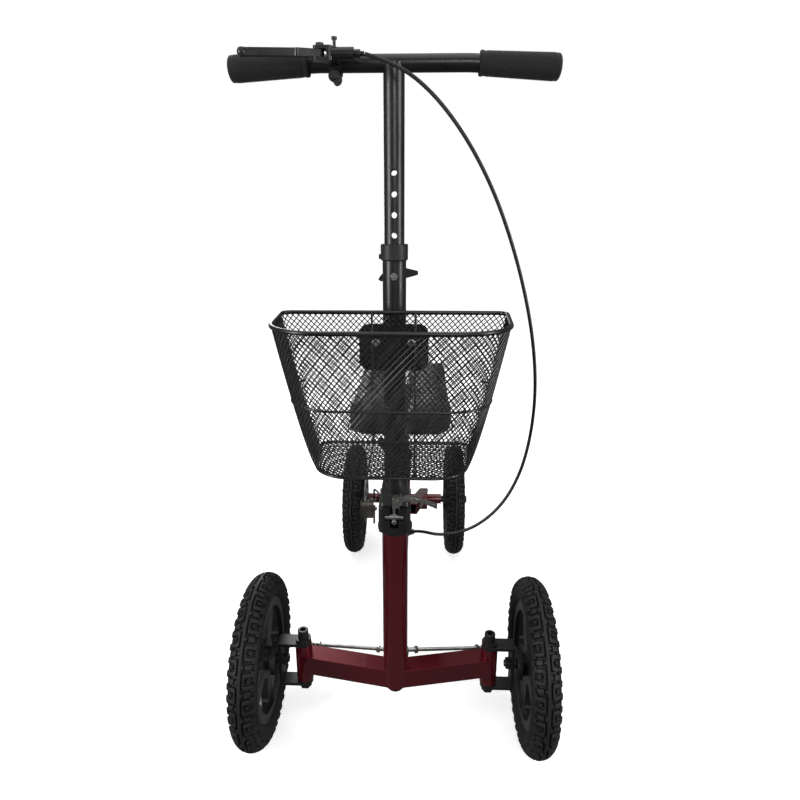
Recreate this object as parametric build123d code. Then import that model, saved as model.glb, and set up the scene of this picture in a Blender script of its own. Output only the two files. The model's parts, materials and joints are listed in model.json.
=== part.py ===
from build123d import *
import os
from math import atan2, cos, degrees, hypot, pi, radians, sin, tan

# A four-wheeled knee scooter with pneumatic tyres, a steered front axle, a folding and
# height-adjustable steering column, a wire basket, a two-cushion knee pad and a rear disc brake.
#
# Millimetres, +Z up, floor at z = 0, middle plane at x = 0. The scooter faces -Y and its
# rider's right hand is at -X. Everything is drawn with the front axle at y = 0, and each
# finished piece is then moved by TO_ROW so that the origin is on the floor under the middle
# of the whole scooter's length.

# ---------------------------------------------------------------- driving dimensions
WHEELBASE = 660.0
FRONT_TRACK = 493.0
REAR_TRACK = 279.0

# Wheels: 12 1/2 inch pneumatic tyres on one-piece spoked rims
WHEEL_OD = 305.0
TYRE_WIDTH = 52.0
TYRE_WALL = 4.5
TUBE_WALL = 1.5
BEAD_DIAMETER = 203.0
RIM_WIDTH = 34.0
RIM_FLANGE = 3.0
RIM_FLANGE_HEIGHT = 7.0
RIM_DEPTH = 9.0
SPOKE_COUNT = 5
SPOKE_WIDTH = 24.0
SPOKE_PLATE = 14.0
SPOKE_PLATE_INSET = 3.0
WINDOW_CORNER = 6.0
HUB_DIAMETER = 42.0
HUB_WIDTH = 58.0
HUB_FLANGE_DIAMETER = 58.0
HUB_FLANGE = 9.0
VALVE_DIAMETER = 8.0
VALVE_LENGTH = 22.0
VALVE_BORE = 3.0
BEARING_OD = 28.0
BEARING_WIDTH = 8.0
AXLE_DIAMETER = 12.0
AXLE_HEX = 19.0
AXLE_HEAD = 8.0
SPACER_OD = 18.0

# Front crossbar, kingpins and knuckles
STEER_Y = -35.0
KINGPIN_SPAN = 336.0
KINGPIN_Y = -2.0
BAR_SIZE = 35.0
BAR_WALL = 2.5
BAR_Z = 155.0
KINGPIN_TUBE_OD = 30.0
KINGPIN_DIAMETER = 12.0
KNUCKLE_Z = 151.0
KNUCKLE_GAP = 78.0
KNUCKLE_PLATE = 6.0
KNUCKLE_WIDTH = 28.0
BUSH_OD = 20.0
BUSH_FLANGE = 2.0
BUSH_FLANGE_OD = 27.0
BUSH_LENGTH = 18.0
KINGPIN_COLLAR_OD = 28.0
KINGPIN_COLLAR = 5.0
KINGPIN_HEAD_OD = 19.0
KINGPIN_HEAD = 17.0
KINGPIN_NUT = 10.0
SOCKET_HEX = 10.0

# Steering linkage: a parallelogram, so both knuckles turn exactly with the column
STEERING_ARM_LENGTH = 85.0
STEERING_ARM_SPREAD = 12.0
PITMAN_HUB_OD = 27.0
PITMAN_HUB = 12.6
PITMAN_PLATE = 5.0
ROD_DIAMETER = 7.0
ROD_EYE_OD = 18.0
ROD_EYE = 10.0
ROD_NUT_HEX = 13.0
ROD_NUT = 6.0
STUD_DIAMETER = 8.0

# Head tube, steerer and fold joint
HEAD_TUBE_OD = 42.0
HEAD_TUBE_ID = 36.0
HEAD_TUBE_TOP = 441.0
HEADSET_CUP_OD = 56.0
HEADSET_CUP = 12.0
HEADSET_BEARING = 10.0
STEERER_OD = 28.6
STEERER_ID = 23.0
STEERER_FOOT = 8.0
STEERER_DEPTH = 6.0
SPIGOT_DIAMETER = 20.0
FOLD_Z = 495.0
FOLD_Y = -2.0
FOLD_BLOCK_WIDTH = 50.0
FOLD_BLOCK_FRONT = -70.0
FOLD_BLOCK_HEIGHT = 41.0
FOLD_TOP_HEIGHT = 33.0
FOLD_TOP_FRONT = -61.5
FOLD_KNUCKLE_OD = 17.0
FOLD_PIN = 7.0
LATCH_Y = -65.0
LATCH_Z = 480.0
LATCH_BARREL_OD = 9.0
LATCH_BARREL = 30.0
LATCH_BOLT = 6.0
LATCH_NUT_OD = 11.0
LATCH_NUT = 6.0
LATCH_TAIL = 13.0
CAM_Z = 508.0
CAM_X = 5.0
CAM_EYE_OD = 17.0
CAM_THICKNESS = 9.0
CAM_FORK = 3.6
CAM_PIN = 6.0
CAM_REACH = 62.0
CAM_DROP = 9.0
CAM_SEAT_ANGLE = 57.0

# Column and handlebar stem
COLUMN_OD = 34.0
COLUMN_TOP = 893.0
COLLAR_OD = 39.0
COLLAR_HEIGHT = 23.0
COLLAR_SCREW = 4.0
STEM_OD = 28.6
STEM_ID = 24.6
STEM_HOLE = 8.5
HOLE_PITCH = 27.6
HOLES_ABOVE_PIN = 5
HOLES_BELOW_PIN = 2
STEM_TAIL = 24.0
PIN_Z = 849.0
PIN_DIAMETER = 7.5
PIN_BOSS_OD = 16.0
PIN_BOSS = 15.0
KEEPER_OD = 10.0
KNOB_THICKNESS = 9.0
KNOB_ROUNDING = 1.9

# Handlebar, grips and brake lever
BAR_TUBE_OD = 22.2
BAR_TUBE_ID = 18.0
HANDLE_Z = 1121.0
HANDLE_HALF = 212.0
HANDLE_STRAIGHT = 100.0
HANDLE_DROOP = 6.0
HANDLE_BEND_RADIUS = 300.0
GRIP_START = 112.0
GRIP_END = 217.0
GRIP_OD_INNER = 31.0
GRIP_OD_OUTER = 35.0
PERCH_X = -76.0
PERCH_WIDTH = 16.0
PERCH_OD = 32.0
LEVER_Y = -77.0
LEVER_PIVOT_X = -90.0
LEVER_TIP_X = -184.0
LEVER_TIP_Y = -90.0
LEVER_HEIGHT = 9.0
LEVER_DEPTH = 9.0
LEVER_BALL = 12.0
LEVER_Z = 1123.0
FORK_WIDTH = 15.0
FORK_HEIGHT = 17.0

# Basket and its bracket
BASKET_FLOOR_Z = 600.0
BASKET_RIM_Z = 800.0
BASKET_BACK_Y = -60.3
BASKET_RIM_FRONT_Y = -224.5
BASKET_FLOOR_FRONT_Y = -192.0
BASKET_RIM_WIDTH = 326.0
BASKET_RIM_FRONT_WIDTH = 294.0
BASKET_FLOOR_WIDTH = 222.0
BASKET_FLOOR_FRONT_WIDTH = 204.0
BASKET_WALL = 3.0
BASKET_RIM_CORNER = 72.0
BASKET_FLOOR_CORNER = 50.0
BASKET_BACK_CORNER = 14.0
BASKET_FLARE = 0.8
BASKET_RIM_WIRE = 6.0
BRACKET_WIDTH = 100.0
BRACKET_LOW = 715.0
BRACKET_HIGH = 783.0
BRACKET_PLATE = 4.0
BRACKET_CORNER = 14.0
BRACKET_CLAMP_WALL = 6.0
BASKET_BOLT_SPACING = 51.0
BASKET_BOLT_Z = 757.0
BASKET_BOLT = 6.0

# Frame, knee post and pad
SPINE_SIZE = 35.0
SPINE_FRONT_Z = 295.0
SPINE_REAR_Z = 272.0
POST_Y = 400.0
SOCKET_OD = 38.0
SOCKET_LOW = 222.0
SOCKET_HIGH = 404.0
POST_OD = 31.8
POST_ID = 27.0
POST_LOW = 262.0
STAY_SIZE = 25.0
STAY_FRONT_X = 23.0
STAY_FRONT_Z = 254.0
STAY_REAR_X = 55.0
STAY_REAR_RISE = 18.0
LUG_WIDTH = 20.0
LUG_RADIUS = 30.0
REAR_TUBE_OD = 27.0
REAR_TUBE_ID = 20.0
REAR_TUBE_HALF = 104.0
PAD_PLATE_TOP = 512.0
PAD_PLATE = 6.0
PAD_PLATE_WIDTH = 176.0
PAD_FRONT_Y = 220.0
PAD_BACK_Y = 610.0
PAD_INNER_X = 6.0
PAD_OUTER_X = 107.0
PAD_OUTER_Z = 580.0
PAD_INNER_Z = 560.0
PAD_CORNER = 14.0
CLAMP_OD = 47.0
CLAMP_HEIGHT = 18.0
CLAMP_LEVER_X = -30.0
CLAMP_LEVER_THICKNESS = 8.0
CLAMP_BOLT = 6.0

# Rear disc brake, on the rider's right-hand rear wheel
ROTOR_OD = 140.0
ROTOR_THICKNESS = 2.0
ROTOR_BORE = 30.0
ROTOR_BOLT_CIRCLE = 44.0
ROTOR_BOLTS = 6
ROTOR_SCREW = 5.0
ROTOR_HOLE = 5.0
ROTOR_BAND = 15.0
ROTOR_VENTS = 24
CALIPER_FRONT = 84.0
CALIPER_BACK = 48.0
CALIPER_HEIGHT = 46.0
CALIPER_OUTER_X = -121.0
CALIPER_INNER_X = -85.0
CALIPER_SLOT = 5.0
CALIPER_ARM = 5.0
CALIPER_BOSS_OD = 10.0
CABLE_DIAMETER = 5.0

# Clearances
RUNNING = 0.10          # radial, between a pin or shaft and its bore
GAP = 0.30              # between pieces that move past each other
SNUG = 0.20             # radial, between a fixed piece and a hole that it passes through
CHAMFER = 1.0

# ---------------------------------------------------------------- worked-out places
AXLE_Z = WHEEL_OD / 2
FRONT_X = FRONT_TRACK / 2
REAR_X = REAR_TRACK / 2
KINGPIN_X = KINGPIN_SPAN / 2
BAR_LOW = BAR_Z - BAR_SIZE / 2
BAR_HIGH = BAR_Z + BAR_SIZE / 2
KNUCKLE_LOW = KNUCKLE_Z - KNUCKLE_GAP / 2
KNUCKLE_HIGH = KNUCKLE_Z + KNUCKLE_GAP / 2
HUB_INNER_X = FRONT_X - HUB_WIDTH / 2
KNUCKLE_FACE_X = HUB_INNER_X - 4.5
BALL_Y = STEER_Y + STEERING_ARM_LENGTH
ARM_TIP = (KINGPIN_X + STEERING_ARM_SPREAD, KINGPIN_Y + STEERING_ARM_LENGTH)
PITMAN_TIP = (STEERING_ARM_SPREAD, BALL_Y)
PITMAN_LOW = BAR_LOW - 0.2 - PITMAN_HUB
INNER_BALL_Z = PITMAN_LOW + PITMAN_PLATE + GAP + ROD_EYE / 2
OUTER_BALL_Z = KNUCKLE_LOW + GAP + ROD_EYE / 2
STEM_LOW = PIN_Z - HOLES_BELOW_PIN * HOLE_PITCH - STEM_TAIL
FOLD_BLOCK_LOW = FOLD_Z - FOLD_BLOCK_HEIGHT
REAR_END = WHEELBASE + WHEEL_OD / 2
FRONT_END = BASKET_RIM_FRONT_Y - BASKET_RIM_WIRE / 4
TO_ROW = Pos(0, -(REAR_END + FRONT_END) / 2, 0)

BASE = (Align.CENTER, Align.CENTER, Align.MIN)
nodes = {}


# ---------------------------------------------------------------- shape helpers
def round_bar(start, end, diameter):
    """Solid round bar from one point to another."""
    along = Vector(*end) - Vector(*start)
    place = Plane(origin=start, z_dir=along).location
    return place * Cylinder(diameter / 2, along.length, align=BASE)


def upright(x, y, low, high, diameter):
    """Solid round bar standing along Z."""
    return Pos(x, y, low) * Cylinder(diameter / 2, high - low, align=BASE)


def crosswise(y, z, low, high, diameter):
    """Solid round bar lying along X."""
    return round_bar((low, y, z), (high, y, z), diameter)


def lengthwise(x, z, low, high, diameter):
    """Solid round bar lying along Y."""
    return round_bar((x, low, z), (x, high, z), diameter)


def block(x, y, z):
    """Box given its low and high value along each axis."""
    middle = [(pair[0] + pair[1]) / 2 for pair in (x, y, z)]
    size = [pair[1] - pair[0] for pair in (x, y, z)]
    return Pos(*middle) * Box(*size)


def hex_bar(start, end, across_flats):
    """Hexagonal bar from one point to another."""
    along = Vector(*end) - Vector(*start)
    outline = RegularPolygon(across_flats / 2, 6, major_radius=False)
    return Plane(origin=start, z_dir=along).location * extrude(outline, along.length)


def flat_link(start, end, width, low, high):
    """Flat bar with round ends between two places in plan, from z = low to z = high."""
    length = hypot(end[0] - start[0], end[1] - start[1])
    turn = degrees(atan2(end[1] - start[1], end[0] - start[0]))
    middle = Pos((start[0] + end[0]) / 2, (start[1] + end[1]) / 2, low)
    strip = middle * Rot(0, 0, turn) * Box(length, width, high - low, align=BASE)
    ends = [upright(place[0], place[1], low, high, width) for place in (start, end)]
    return strip + ends[0] + ends[1]


def square_rod(start, end, size):
    """Solid square bar from one point to another, two of its faces upright."""
    along = Vector(*end) - Vector(*start)
    side = Vector(0, 0, 1).cross(along)
    place = Plane(origin=start, z_dir=along, x_dir=side).location
    return place * Box(size, size, along.length, align=BASE)


def square_tube(start, end, size, wall):
    """Square tube from one point to another, open at both ends."""
    return square_rod(start, end, size) - square_rod(start, end, size - 2 * wall)


def facing_front(y):
    """Place of an outline drawn in X and Z at one y, extruded towards the front."""
    return Plane(origin=(0, y, 0), x_dir=(1, 0, 0), z_dir=(0, -1, 0)).location


def other_side(shape):
    """The same piece on the other side of the middle plane."""
    return mirror(shape, about=Plane.YZ)


def keep(name, *shapes):
    """Record a node, which may hold several separate solids."""
    solids = [solid for shape in shapes for solid in shape.solids()]
    nodes[name] = solids


# ---------------------------------------------------------------- wheels
def ring_x(outer, inner, low, high):
    """Ring about the X axis."""
    return crosswise(0, 0, low, high, outer) - crosswise(0, 0, low, high, inner)


def tyre_casing():
    """Hollow tyre about the X axis, open between its beads."""
    section_radius = TYRE_WIDTH / 2
    major = WHEEL_OD / 2 - section_radius
    bead = BEAD_DIAMETER / 2 + SNUG
    groove = RIM_WIDTH / 2 - RIM_FLANGE - SNUG
    flange_top = BEAD_DIAMETER + 2 * (RIM_FLANGE_HEIGHT + GAP)
    turned = Rot(0, 90, 0) * (Torus(major, section_radius) - Torus(major, section_radius - TYRE_WALL))
    casing = turned - crosswise(0, 0, -TYRE_WIDTH, TYRE_WIDTH, 2 * bead)
    for low, high in ((-TYRE_WIDTH, -groove), (groove, TYRE_WIDTH)):
        casing -= crosswise(0, 0, low, high, flange_top)
    mouth = groove - TYRE_WALL
    return casing - crosswise(0, 0, -mouth, mouth, 2 * bead + 2 * TYRE_WALL)


def inner_tube():
    """Air tube inside the casing, with its valve stem pointing at the hub."""
    section_radius = TYRE_WIDTH / 2 - TYRE_WALL - GAP
    major = WHEEL_OD / 2 - TYRE_WIDTH / 2
    ring = Rot(0, 90, 0) * Torus(major, section_radius)
    stem_low = BEAD_DIAMETER / 2 - VALVE_LENGTH
    stem = upright(0, 0, stem_low, major, VALVE_DIAMETER)
    air = Rot(0, 90, 0) * Torus(major, section_radius - TUBE_WALL)
    return ring + stem - air - upright(0, 0, stem_low, major, VALVE_BORE)


def rim_windows():
    """The openings between the spokes, as solids to cut away."""
    inner = HUB_FLANGE_DIAMETER / 2 + 6
    outer = BEAD_DIAMETER / 2 - RIM_DEPTH - 5
    space = ring_x(2 * outer, 2 * inner, -RIM_WIDTH, RIM_WIDTH)
    for number in range(SPOKE_COUNT):
        spoke = block((-RIM_WIDTH, RIM_WIDTH), (-SPOKE_WIDTH / 2, SPOKE_WIDTH / 2), (-outer - 5, 0))
        space -= Rot(number * 360 / SPOKE_COUNT, 0, 0) * spoke
    return fillet(space.edges().filter_by(Axis.X), WINDOW_CORNER)


def rim():
    """One-piece spoked rim and hub about the X axis. Its inner side, by the frame, is -X."""
    half = RIM_WIDTH / 2
    bead = BEAD_DIAMETER
    barrel = ring_x(bead, bead - 2 * RIM_DEPTH, -half, half)
    for low, high in ((-half, RIM_FLANGE - half), (half - RIM_FLANGE, half)):
        barrel += ring_x(bead + 2 * RIM_FLANGE_HEIGHT, bead - 2 * RIM_DEPTH, low, high)
    plate_low = -SPOKE_PLATE / 2 - SPOKE_PLATE_INSET
    plate = ring_x(bead - RIM_DEPTH, HUB_DIAMETER - 2, plate_low, plate_low + SPOKE_PLATE)
    hub = crosswise(0, 0, -HUB_WIDTH / 2, HUB_WIDTH / 2, HUB_DIAMETER)
    flange = crosswise(0, 0, -HUB_WIDTH / 2, HUB_FLANGE - HUB_WIDTH / 2, HUB_FLANGE_DIAMETER)
    wheel = barrel + (plate - rim_windows()) + hub + flange
    wheel -= crosswise(0, 0, -HUB_WIDTH, HUB_WIDTH, SPACER_OD)
    for low in (-HUB_WIDTH / 2, HUB_WIDTH / 2 - BEARING_WIDTH):
        wheel -= crosswise(0, 0, low, low + BEARING_WIDTH, BEARING_OD)
    valve_low = bead / 2 - VALVE_LENGTH - 1
    wheel -= upright(0, 0, valve_low, bead / 2 + 1, VALVE_DIAMETER + 2 * GAP)
    for number in range(ROTOR_BOLTS):
        turn = Rot(number * 360 / ROTOR_BOLTS, 0, 0)
        hole_end = HUB_FLANGE - HUB_WIDTH / 2 - 1
        hole = crosswise(0, ROTOR_BOLT_CIRCLE / 2, -HUB_WIDTH / 2, hole_end, ROTOR_SCREW)
        wheel -= turn * hole
    return wheel


def wheel_bearings():
    """The two ball bearings in the hub's ends."""
    low = -HUB_WIDTH / 2
    ring = ring_x(BEARING_OD, AXLE_DIAMETER + 2 * RUNNING, low, low + BEARING_WIDTH)
    return [ring, other_side(ring)]


def build_wheels():
    casing, tube, spoked, bearings = tyre_casing(), inner_tube(), rim(), wheel_bearings()
    places = {
        "front_left": Pos(FRONT_X, 0, AXLE_Z),
        "front_right": Pos(-FRONT_X, 0, AXLE_Z) * Rot(0, 0, 180),
        "rear_left": Pos(REAR_X, WHEELBASE, AXLE_Z),
        "rear_right": Pos(-REAR_X, WHEELBASE, AXLE_Z) * Rot(0, 0, 180),
    }
    for corner, place in places.items():
        keep("tyre_" + corner, place * casing, place * tube)
        keep("rim_" + corner, place * spoked, *[place * ring for ring in bearings])


# ---------------------------------------------------------------- front axle
def build_crossbar():
    """Swept crossbar of square tube, with the kingpin tubes welded to its ends."""
    centre = Vector(0, STEER_Y, BAR_Z)
    end = Vector(KINGPIN_X, KINGPIN_Y, BAR_Z)
    along = (end - centre).normalized()
    hollow_start = centre + along * (HEAD_TUBE_OD / 2 + BAR_WALL)
    hollow_end = end - along * (KINGPIN_TUBE_OD / 2 + BAR_WALL)
    half = square_rod(tuple(centre), tuple(end), BAR_SIZE)
    half -= square_rod(tuple(hollow_start), tuple(hollow_end), BAR_SIZE - 2 * BAR_WALL)
    nose = upright(0, STEER_Y, BAR_LOW, BAR_HIGH, HEAD_TUBE_OD)
    bore = upright(0, STEER_Y, BAR_LOW - 1, BAR_HIGH + 1, SPIGOT_DIAMETER + 2 * RUNNING)
    tube_low = KNUCKLE_LOW + RUNNING + BUSH_FLANGE
    tube_high = KNUCKLE_HIGH - RUNNING - BUSH_FLANGE
    kingpin = upright(KINGPIN_X, KINGPIN_Y, tube_low, tube_high, KINGPIN_TUBE_OD)
    hole = upright(KINGPIN_X, KINGPIN_Y, tube_low - 1, tube_high + 1, BUSH_OD)
    bar = half + other_side(half) + nose + kingpin + other_side(kingpin) - bore
    keep("crossbar", bar - hole - other_side(hole))


def kingpin_pieces():
    """Right-hand-of-centre kingpin: its two flanged bushes, its bolt, collar and nut."""
    x, y = KINGPIN_X, KINGPIN_Y
    bore = upright(x, y, KNUCKLE_LOW - 50, KNUCKLE_HIGH + 50, KINGPIN_DIAMETER + 2 * RUNNING)
    bushes = []
    for face, inward in ((KNUCKLE_LOW + RUNNING, 1), (KNUCKLE_HIGH - RUNNING, -1)):
        inner = face + inward * BUSH_FLANGE
        end = face + inward * BUSH_LENGTH
        flange = upright(x, y, min(face, inner), max(face, inner), BUSH_FLANGE_OD)
        sleeve = upright(x, y, min(face, end), max(face, end), BUSH_OD)
        bushes.append(flange + sleeve - bore)
    collar_low = KNUCKLE_HIGH + KNUCKLE_PLATE + RUNNING
    head_low = collar_low + KINGPIN_COLLAR
    head_high = head_low + KINGPIN_HEAD
    nut_high = KNUCKLE_LOW - KNUCKLE_PLATE - RUNNING
    nut_low = nut_high - KINGPIN_NUT
    collar = upright(x, y, collar_low, head_low, KINGPIN_COLLAR_OD) - bore
    head = upright(x, y, head_low, head_high, KINGPIN_HEAD_OD)
    head = chamfer(head.edges().group_by(Axis.Z)[-1], CHAMFER)
    socket = hex_bar((x, y, head_high - SOCKET_HEX), (x, y, head_high + 1), SOCKET_HEX)
    bolt = head + upright(x, y, nut_low - 3, head_low + 1, KINGPIN_DIAMETER) - socket
    nut = hex_bar((x, y, nut_low), (x, y, nut_high), AXLE_HEX)
    nut -= upright(x, y, nut_low - 1, nut_high + 1, KINGPIN_DIAMETER)
    return bushes, [collar, bolt, nut]


def build_kingpins():
    bushes, bolts = kingpin_pieces()
    keep("kingpin_bushes", *bushes, *[other_side(piece) for piece in bushes])
    keep("kingpin_bolts", *bolts, *[other_side(piece) for piece in bolts])


def knuckle():
    """C-shaped knuckle: two plates round the kingpin, an upright axle plate, a steering arm."""
    half = KNUCKLE_WIDTH / 2
    low, high = KNUCKLE_LOW - KNUCKLE_PLATE, KNUCKLE_HIGH + KNUCKLE_PLATE
    sides = (KINGPIN_Y - half, KINGPIN_Y + half)
    piece = block((KNUCKLE_FACE_X - KNUCKLE_PLATE, KNUCKLE_FACE_X), sides, (low, high))
    for plate_low in (low, KNUCKLE_HIGH):
        plate_high = plate_low + KNUCKLE_PLATE
        piece += block((KINGPIN_X, KNUCKLE_FACE_X), sides, (plate_low, plate_high))
        piece += upright(KINGPIN_X, KINGPIN_Y, plate_low, plate_high, KNUCKLE_WIDTH)
    piece += flat_link((KINGPIN_X, KINGPIN_Y), ARM_TIP, KNUCKLE_WIDTH * 0.75, low, KNUCKLE_LOW)
    piece -= upright(KINGPIN_X, KINGPIN_Y, low - 1, high + 1, KINGPIN_DIAMETER + 2 * RUNNING)
    piece -= upright(*ARM_TIP, low - 1, high + 1, STUD_DIAMETER)
    return piece - crosswise(0, AXLE_Z, KNUCKLE_FACE_X - 20, KNUCKLE_FACE_X + 1, AXLE_DIAMETER)


def front_axle():
    """Bolt-through stub axle with its spacer and its nut inside the knuckle."""
    inner = KNUCKLE_FACE_X - KNUCKLE_PLATE
    outer = FRONT_X + HUB_WIDTH / 2 + GAP
    shank = crosswise(0, AXLE_Z, inner - AXLE_HEAD - 3, outer, AXLE_DIAMETER)
    head = hex_bar((outer, 0, AXLE_Z), (outer + AXLE_HEAD, 0, AXLE_Z), AXLE_HEX)
    spacer = crosswise(0, AXLE_Z, KNUCKLE_FACE_X, HUB_INNER_X - GAP, SPACER_OD)
    spacer -= crosswise(0, AXLE_Z, KNUCKLE_FACE_X - 1, HUB_INNER_X, AXLE_DIAMETER)
    nut = hex_bar((inner - AXLE_HEAD, 0, AXLE_Z), (inner, 0, AXLE_Z), AXLE_HEX)
    nut -= crosswise(0, AXLE_Z, inner - AXLE_HEAD - 1, inner + 1, AXLE_DIAMETER)
    return [shank + head, spacer, nut]


def stud(place, plate_low, eye_high):
    """Bolt standing up through a steering plate and a rod eye, with its nut on top."""
    x, y = place
    nut_low = eye_high + GAP
    bolt = upright(x, y, plate_low, nut_low + ROD_NUT + 2, STUD_DIAMETER)
    bolt += hex_bar((x, y, plate_low - ROD_NUT + 1), (x, y, plate_low), ROD_NUT_HEX)
    nut = hex_bar((x, y, nut_low), (x, y, nut_low + ROD_NUT), ROD_NUT_HEX)
    return [bolt, nut - upright(x, y, nut_low - 1, nut_low + ROD_NUT + 1, STUD_DIAMETER)]


def tie_rod():
    """Rod with an eye at each end and a jam nut by each eye."""
    inner = Vector(*PITMAN_TIP, INNER_BALL_Z)
    outer = Vector(*ARM_TIP, OUTER_BALL_Z)
    along = (outer - inner).normalized()
    body = round_bar(tuple(inner), tuple(outer), ROD_DIAMETER)
    for centre, reach in ((inner, along), (outer, along * -1)):
        neck_end = centre + reach * (ROD_EYE_OD + 4)
        body += round_bar(tuple(centre), tuple(neck_end), ROD_DIAMETER + 1)
        body += upright(centre.X, centre.Y, centre.Z - ROD_EYE / 2, centre.Z + ROD_EYE / 2, ROD_EYE_OD)
    for centre, fit in ((inner, RUNNING), (outer, GAP)):
        body -= upright(centre.X, centre.Y, centre.Z - ROD_EYE, centre.Z + ROD_EYE, STUD_DIAMETER + 2 * fit)
    rod = round_bar(tuple(inner), tuple(outer), ROD_DIAMETER)
    nuts = []
    for centre, reach in ((inner, along), (outer, along * -1)):
        near = centre + reach * (ROD_EYE_OD + 4)
        far = near + reach * ROD_NUT
        nuts.append(hex_bar(tuple(near), tuple(far), ROD_NUT_HEX - 1) - rod)
    return [body] + nuts


def build_front_corners():
    arm_low = KNUCKLE_LOW - KNUCKLE_PLATE
    outer_studs = stud(ARM_TIP, arm_low, OUTER_BALL_Z + ROD_EYE / 2)
    pieces = {
        "knuckle": [knuckle()],
        "knuckle_fasteners": front_axle() + outer_studs,
        "tie_rod": tie_rod(),
    }
    for name, shapes in pieces.items():
        keep(name + "_left", *shapes)
        keep(name + "_right", *[other_side(shape) for shape in shapes])


def build_pitman():
    """Pitman arm under the crossbar, turned by the steerer, carrying both rods' inner ends."""
    counterbore = PITMAN_PLATE + 1
    hub = upright(0, STEER_Y, PITMAN_LOW, PITMAN_LOW + PITMAN_HUB, PITMAN_HUB_OD)
    hub = chamfer(hub.edges().group_by(Axis.Z)[0], 3 * CHAMFER)
    arm = hub
    for side in (-1, 1):
        tip = (side * PITMAN_TIP[0], PITMAN_TIP[1])
        arm += flat_link((0, STEER_Y), tip, 20, PITMAN_LOW, PITMAN_LOW + PITMAN_PLATE)
    arm -= upright(0, STEER_Y, PITMAN_LOW - 1, PITMAN_LOW + counterbore, 15)
    arm -= upright(0, STEER_Y, PITMAN_LOW + counterbore, BAR_LOW, SPIGOT_DIAMETER)
    for side in (-1, 1):
        arm -= upright(side * PITMAN_TIP[0], PITMAN_TIP[1], PITMAN_LOW - 1, BAR_LOW, STUD_DIAMETER)
    keep("pitman_arm", arm)
    head_low = PITMAN_LOW + 0.5
    bolt = upright(0, STEER_Y, head_low, PITMAN_LOW + counterbore, 14)
    bolt += upright(0, STEER_Y, head_low, PITMAN_LOW + counterbore + 28, STUD_DIAMETER)
    bolt -= hex_bar((0, STEER_Y, head_low - 1), (0, STEER_Y, head_low + 3), 6)
    studs = []
    for side in (-1, 1):
        place = (side * PITMAN_TIP[0], PITMAN_TIP[1])
        studs += stud(place, PITMAN_LOW, INNER_BALL_Z + ROD_EYE / 2)
    keep("pitman_fasteners", bolt, *studs)


# ---------------------------------------------------------------- head tube and steerer
def build_head():
    tube = upright(0, STEER_Y, BAR_HIGH, HEAD_TUBE_TOP, HEAD_TUBE_OD)
    keep("head_tube", tube - upright(0, STEER_Y, BAR_HIGH - 1, HEAD_TUBE_TOP + 1, HEAD_TUBE_ID))
    cup_high = HEAD_TUBE_TOP + HEADSET_CUP
    shaft = upright(0, STEER_Y, BAR_HIGH, cup_high + 1, STEERER_OD + 2 * RUNNING)
    cup = upright(0, STEER_Y, HEAD_TUBE_TOP, cup_high, HEADSET_CUP_OD)
    cup = chamfer(cup.edges().group_by(Axis.Z)[-1], CHAMFER)
    cup = fillet(cup.edges().group_by(Axis.Z)[0], (HEADSET_CUP_OD - HEAD_TUBE_OD) / 2)
    rings = []
    for low in (BAR_HIGH + 4, HEAD_TUBE_TOP - HEADSET_BEARING):
        rings.append(upright(0, STEER_Y, low, low + HEADSET_BEARING, HEAD_TUBE_ID) - shaft)
    keep("headset", cup - shaft, *rings)


def build_steerer():
    low = BAR_HIGH + 1
    tube = upright(0, STEER_Y, low, FOLD_Z - STEERER_DEPTH, STEERER_OD)
    tube -= upright(0, STEER_Y, low + STEERER_FOOT, FOLD_Z, STEERER_ID)
    spigot_low = PITMAN_LOW + PITMAN_PLATE + 1
    tube += upright(0, STEER_Y, spigot_low, low + 4, SPIGOT_DIAMETER)
    keep("steerer", tube - upright(0, STEER_Y, spigot_low - 1, spigot_low + 29, STUD_DIAMETER))


# ---------------------------------------------------------------- fold joint
def hinge_knuckle(low, high):
    """Barrel of the fold hinge about its pin."""
    return crosswise(FOLD_Y, FOLD_Z, low, high, FOLD_KNUCKLE_OD)


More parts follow.
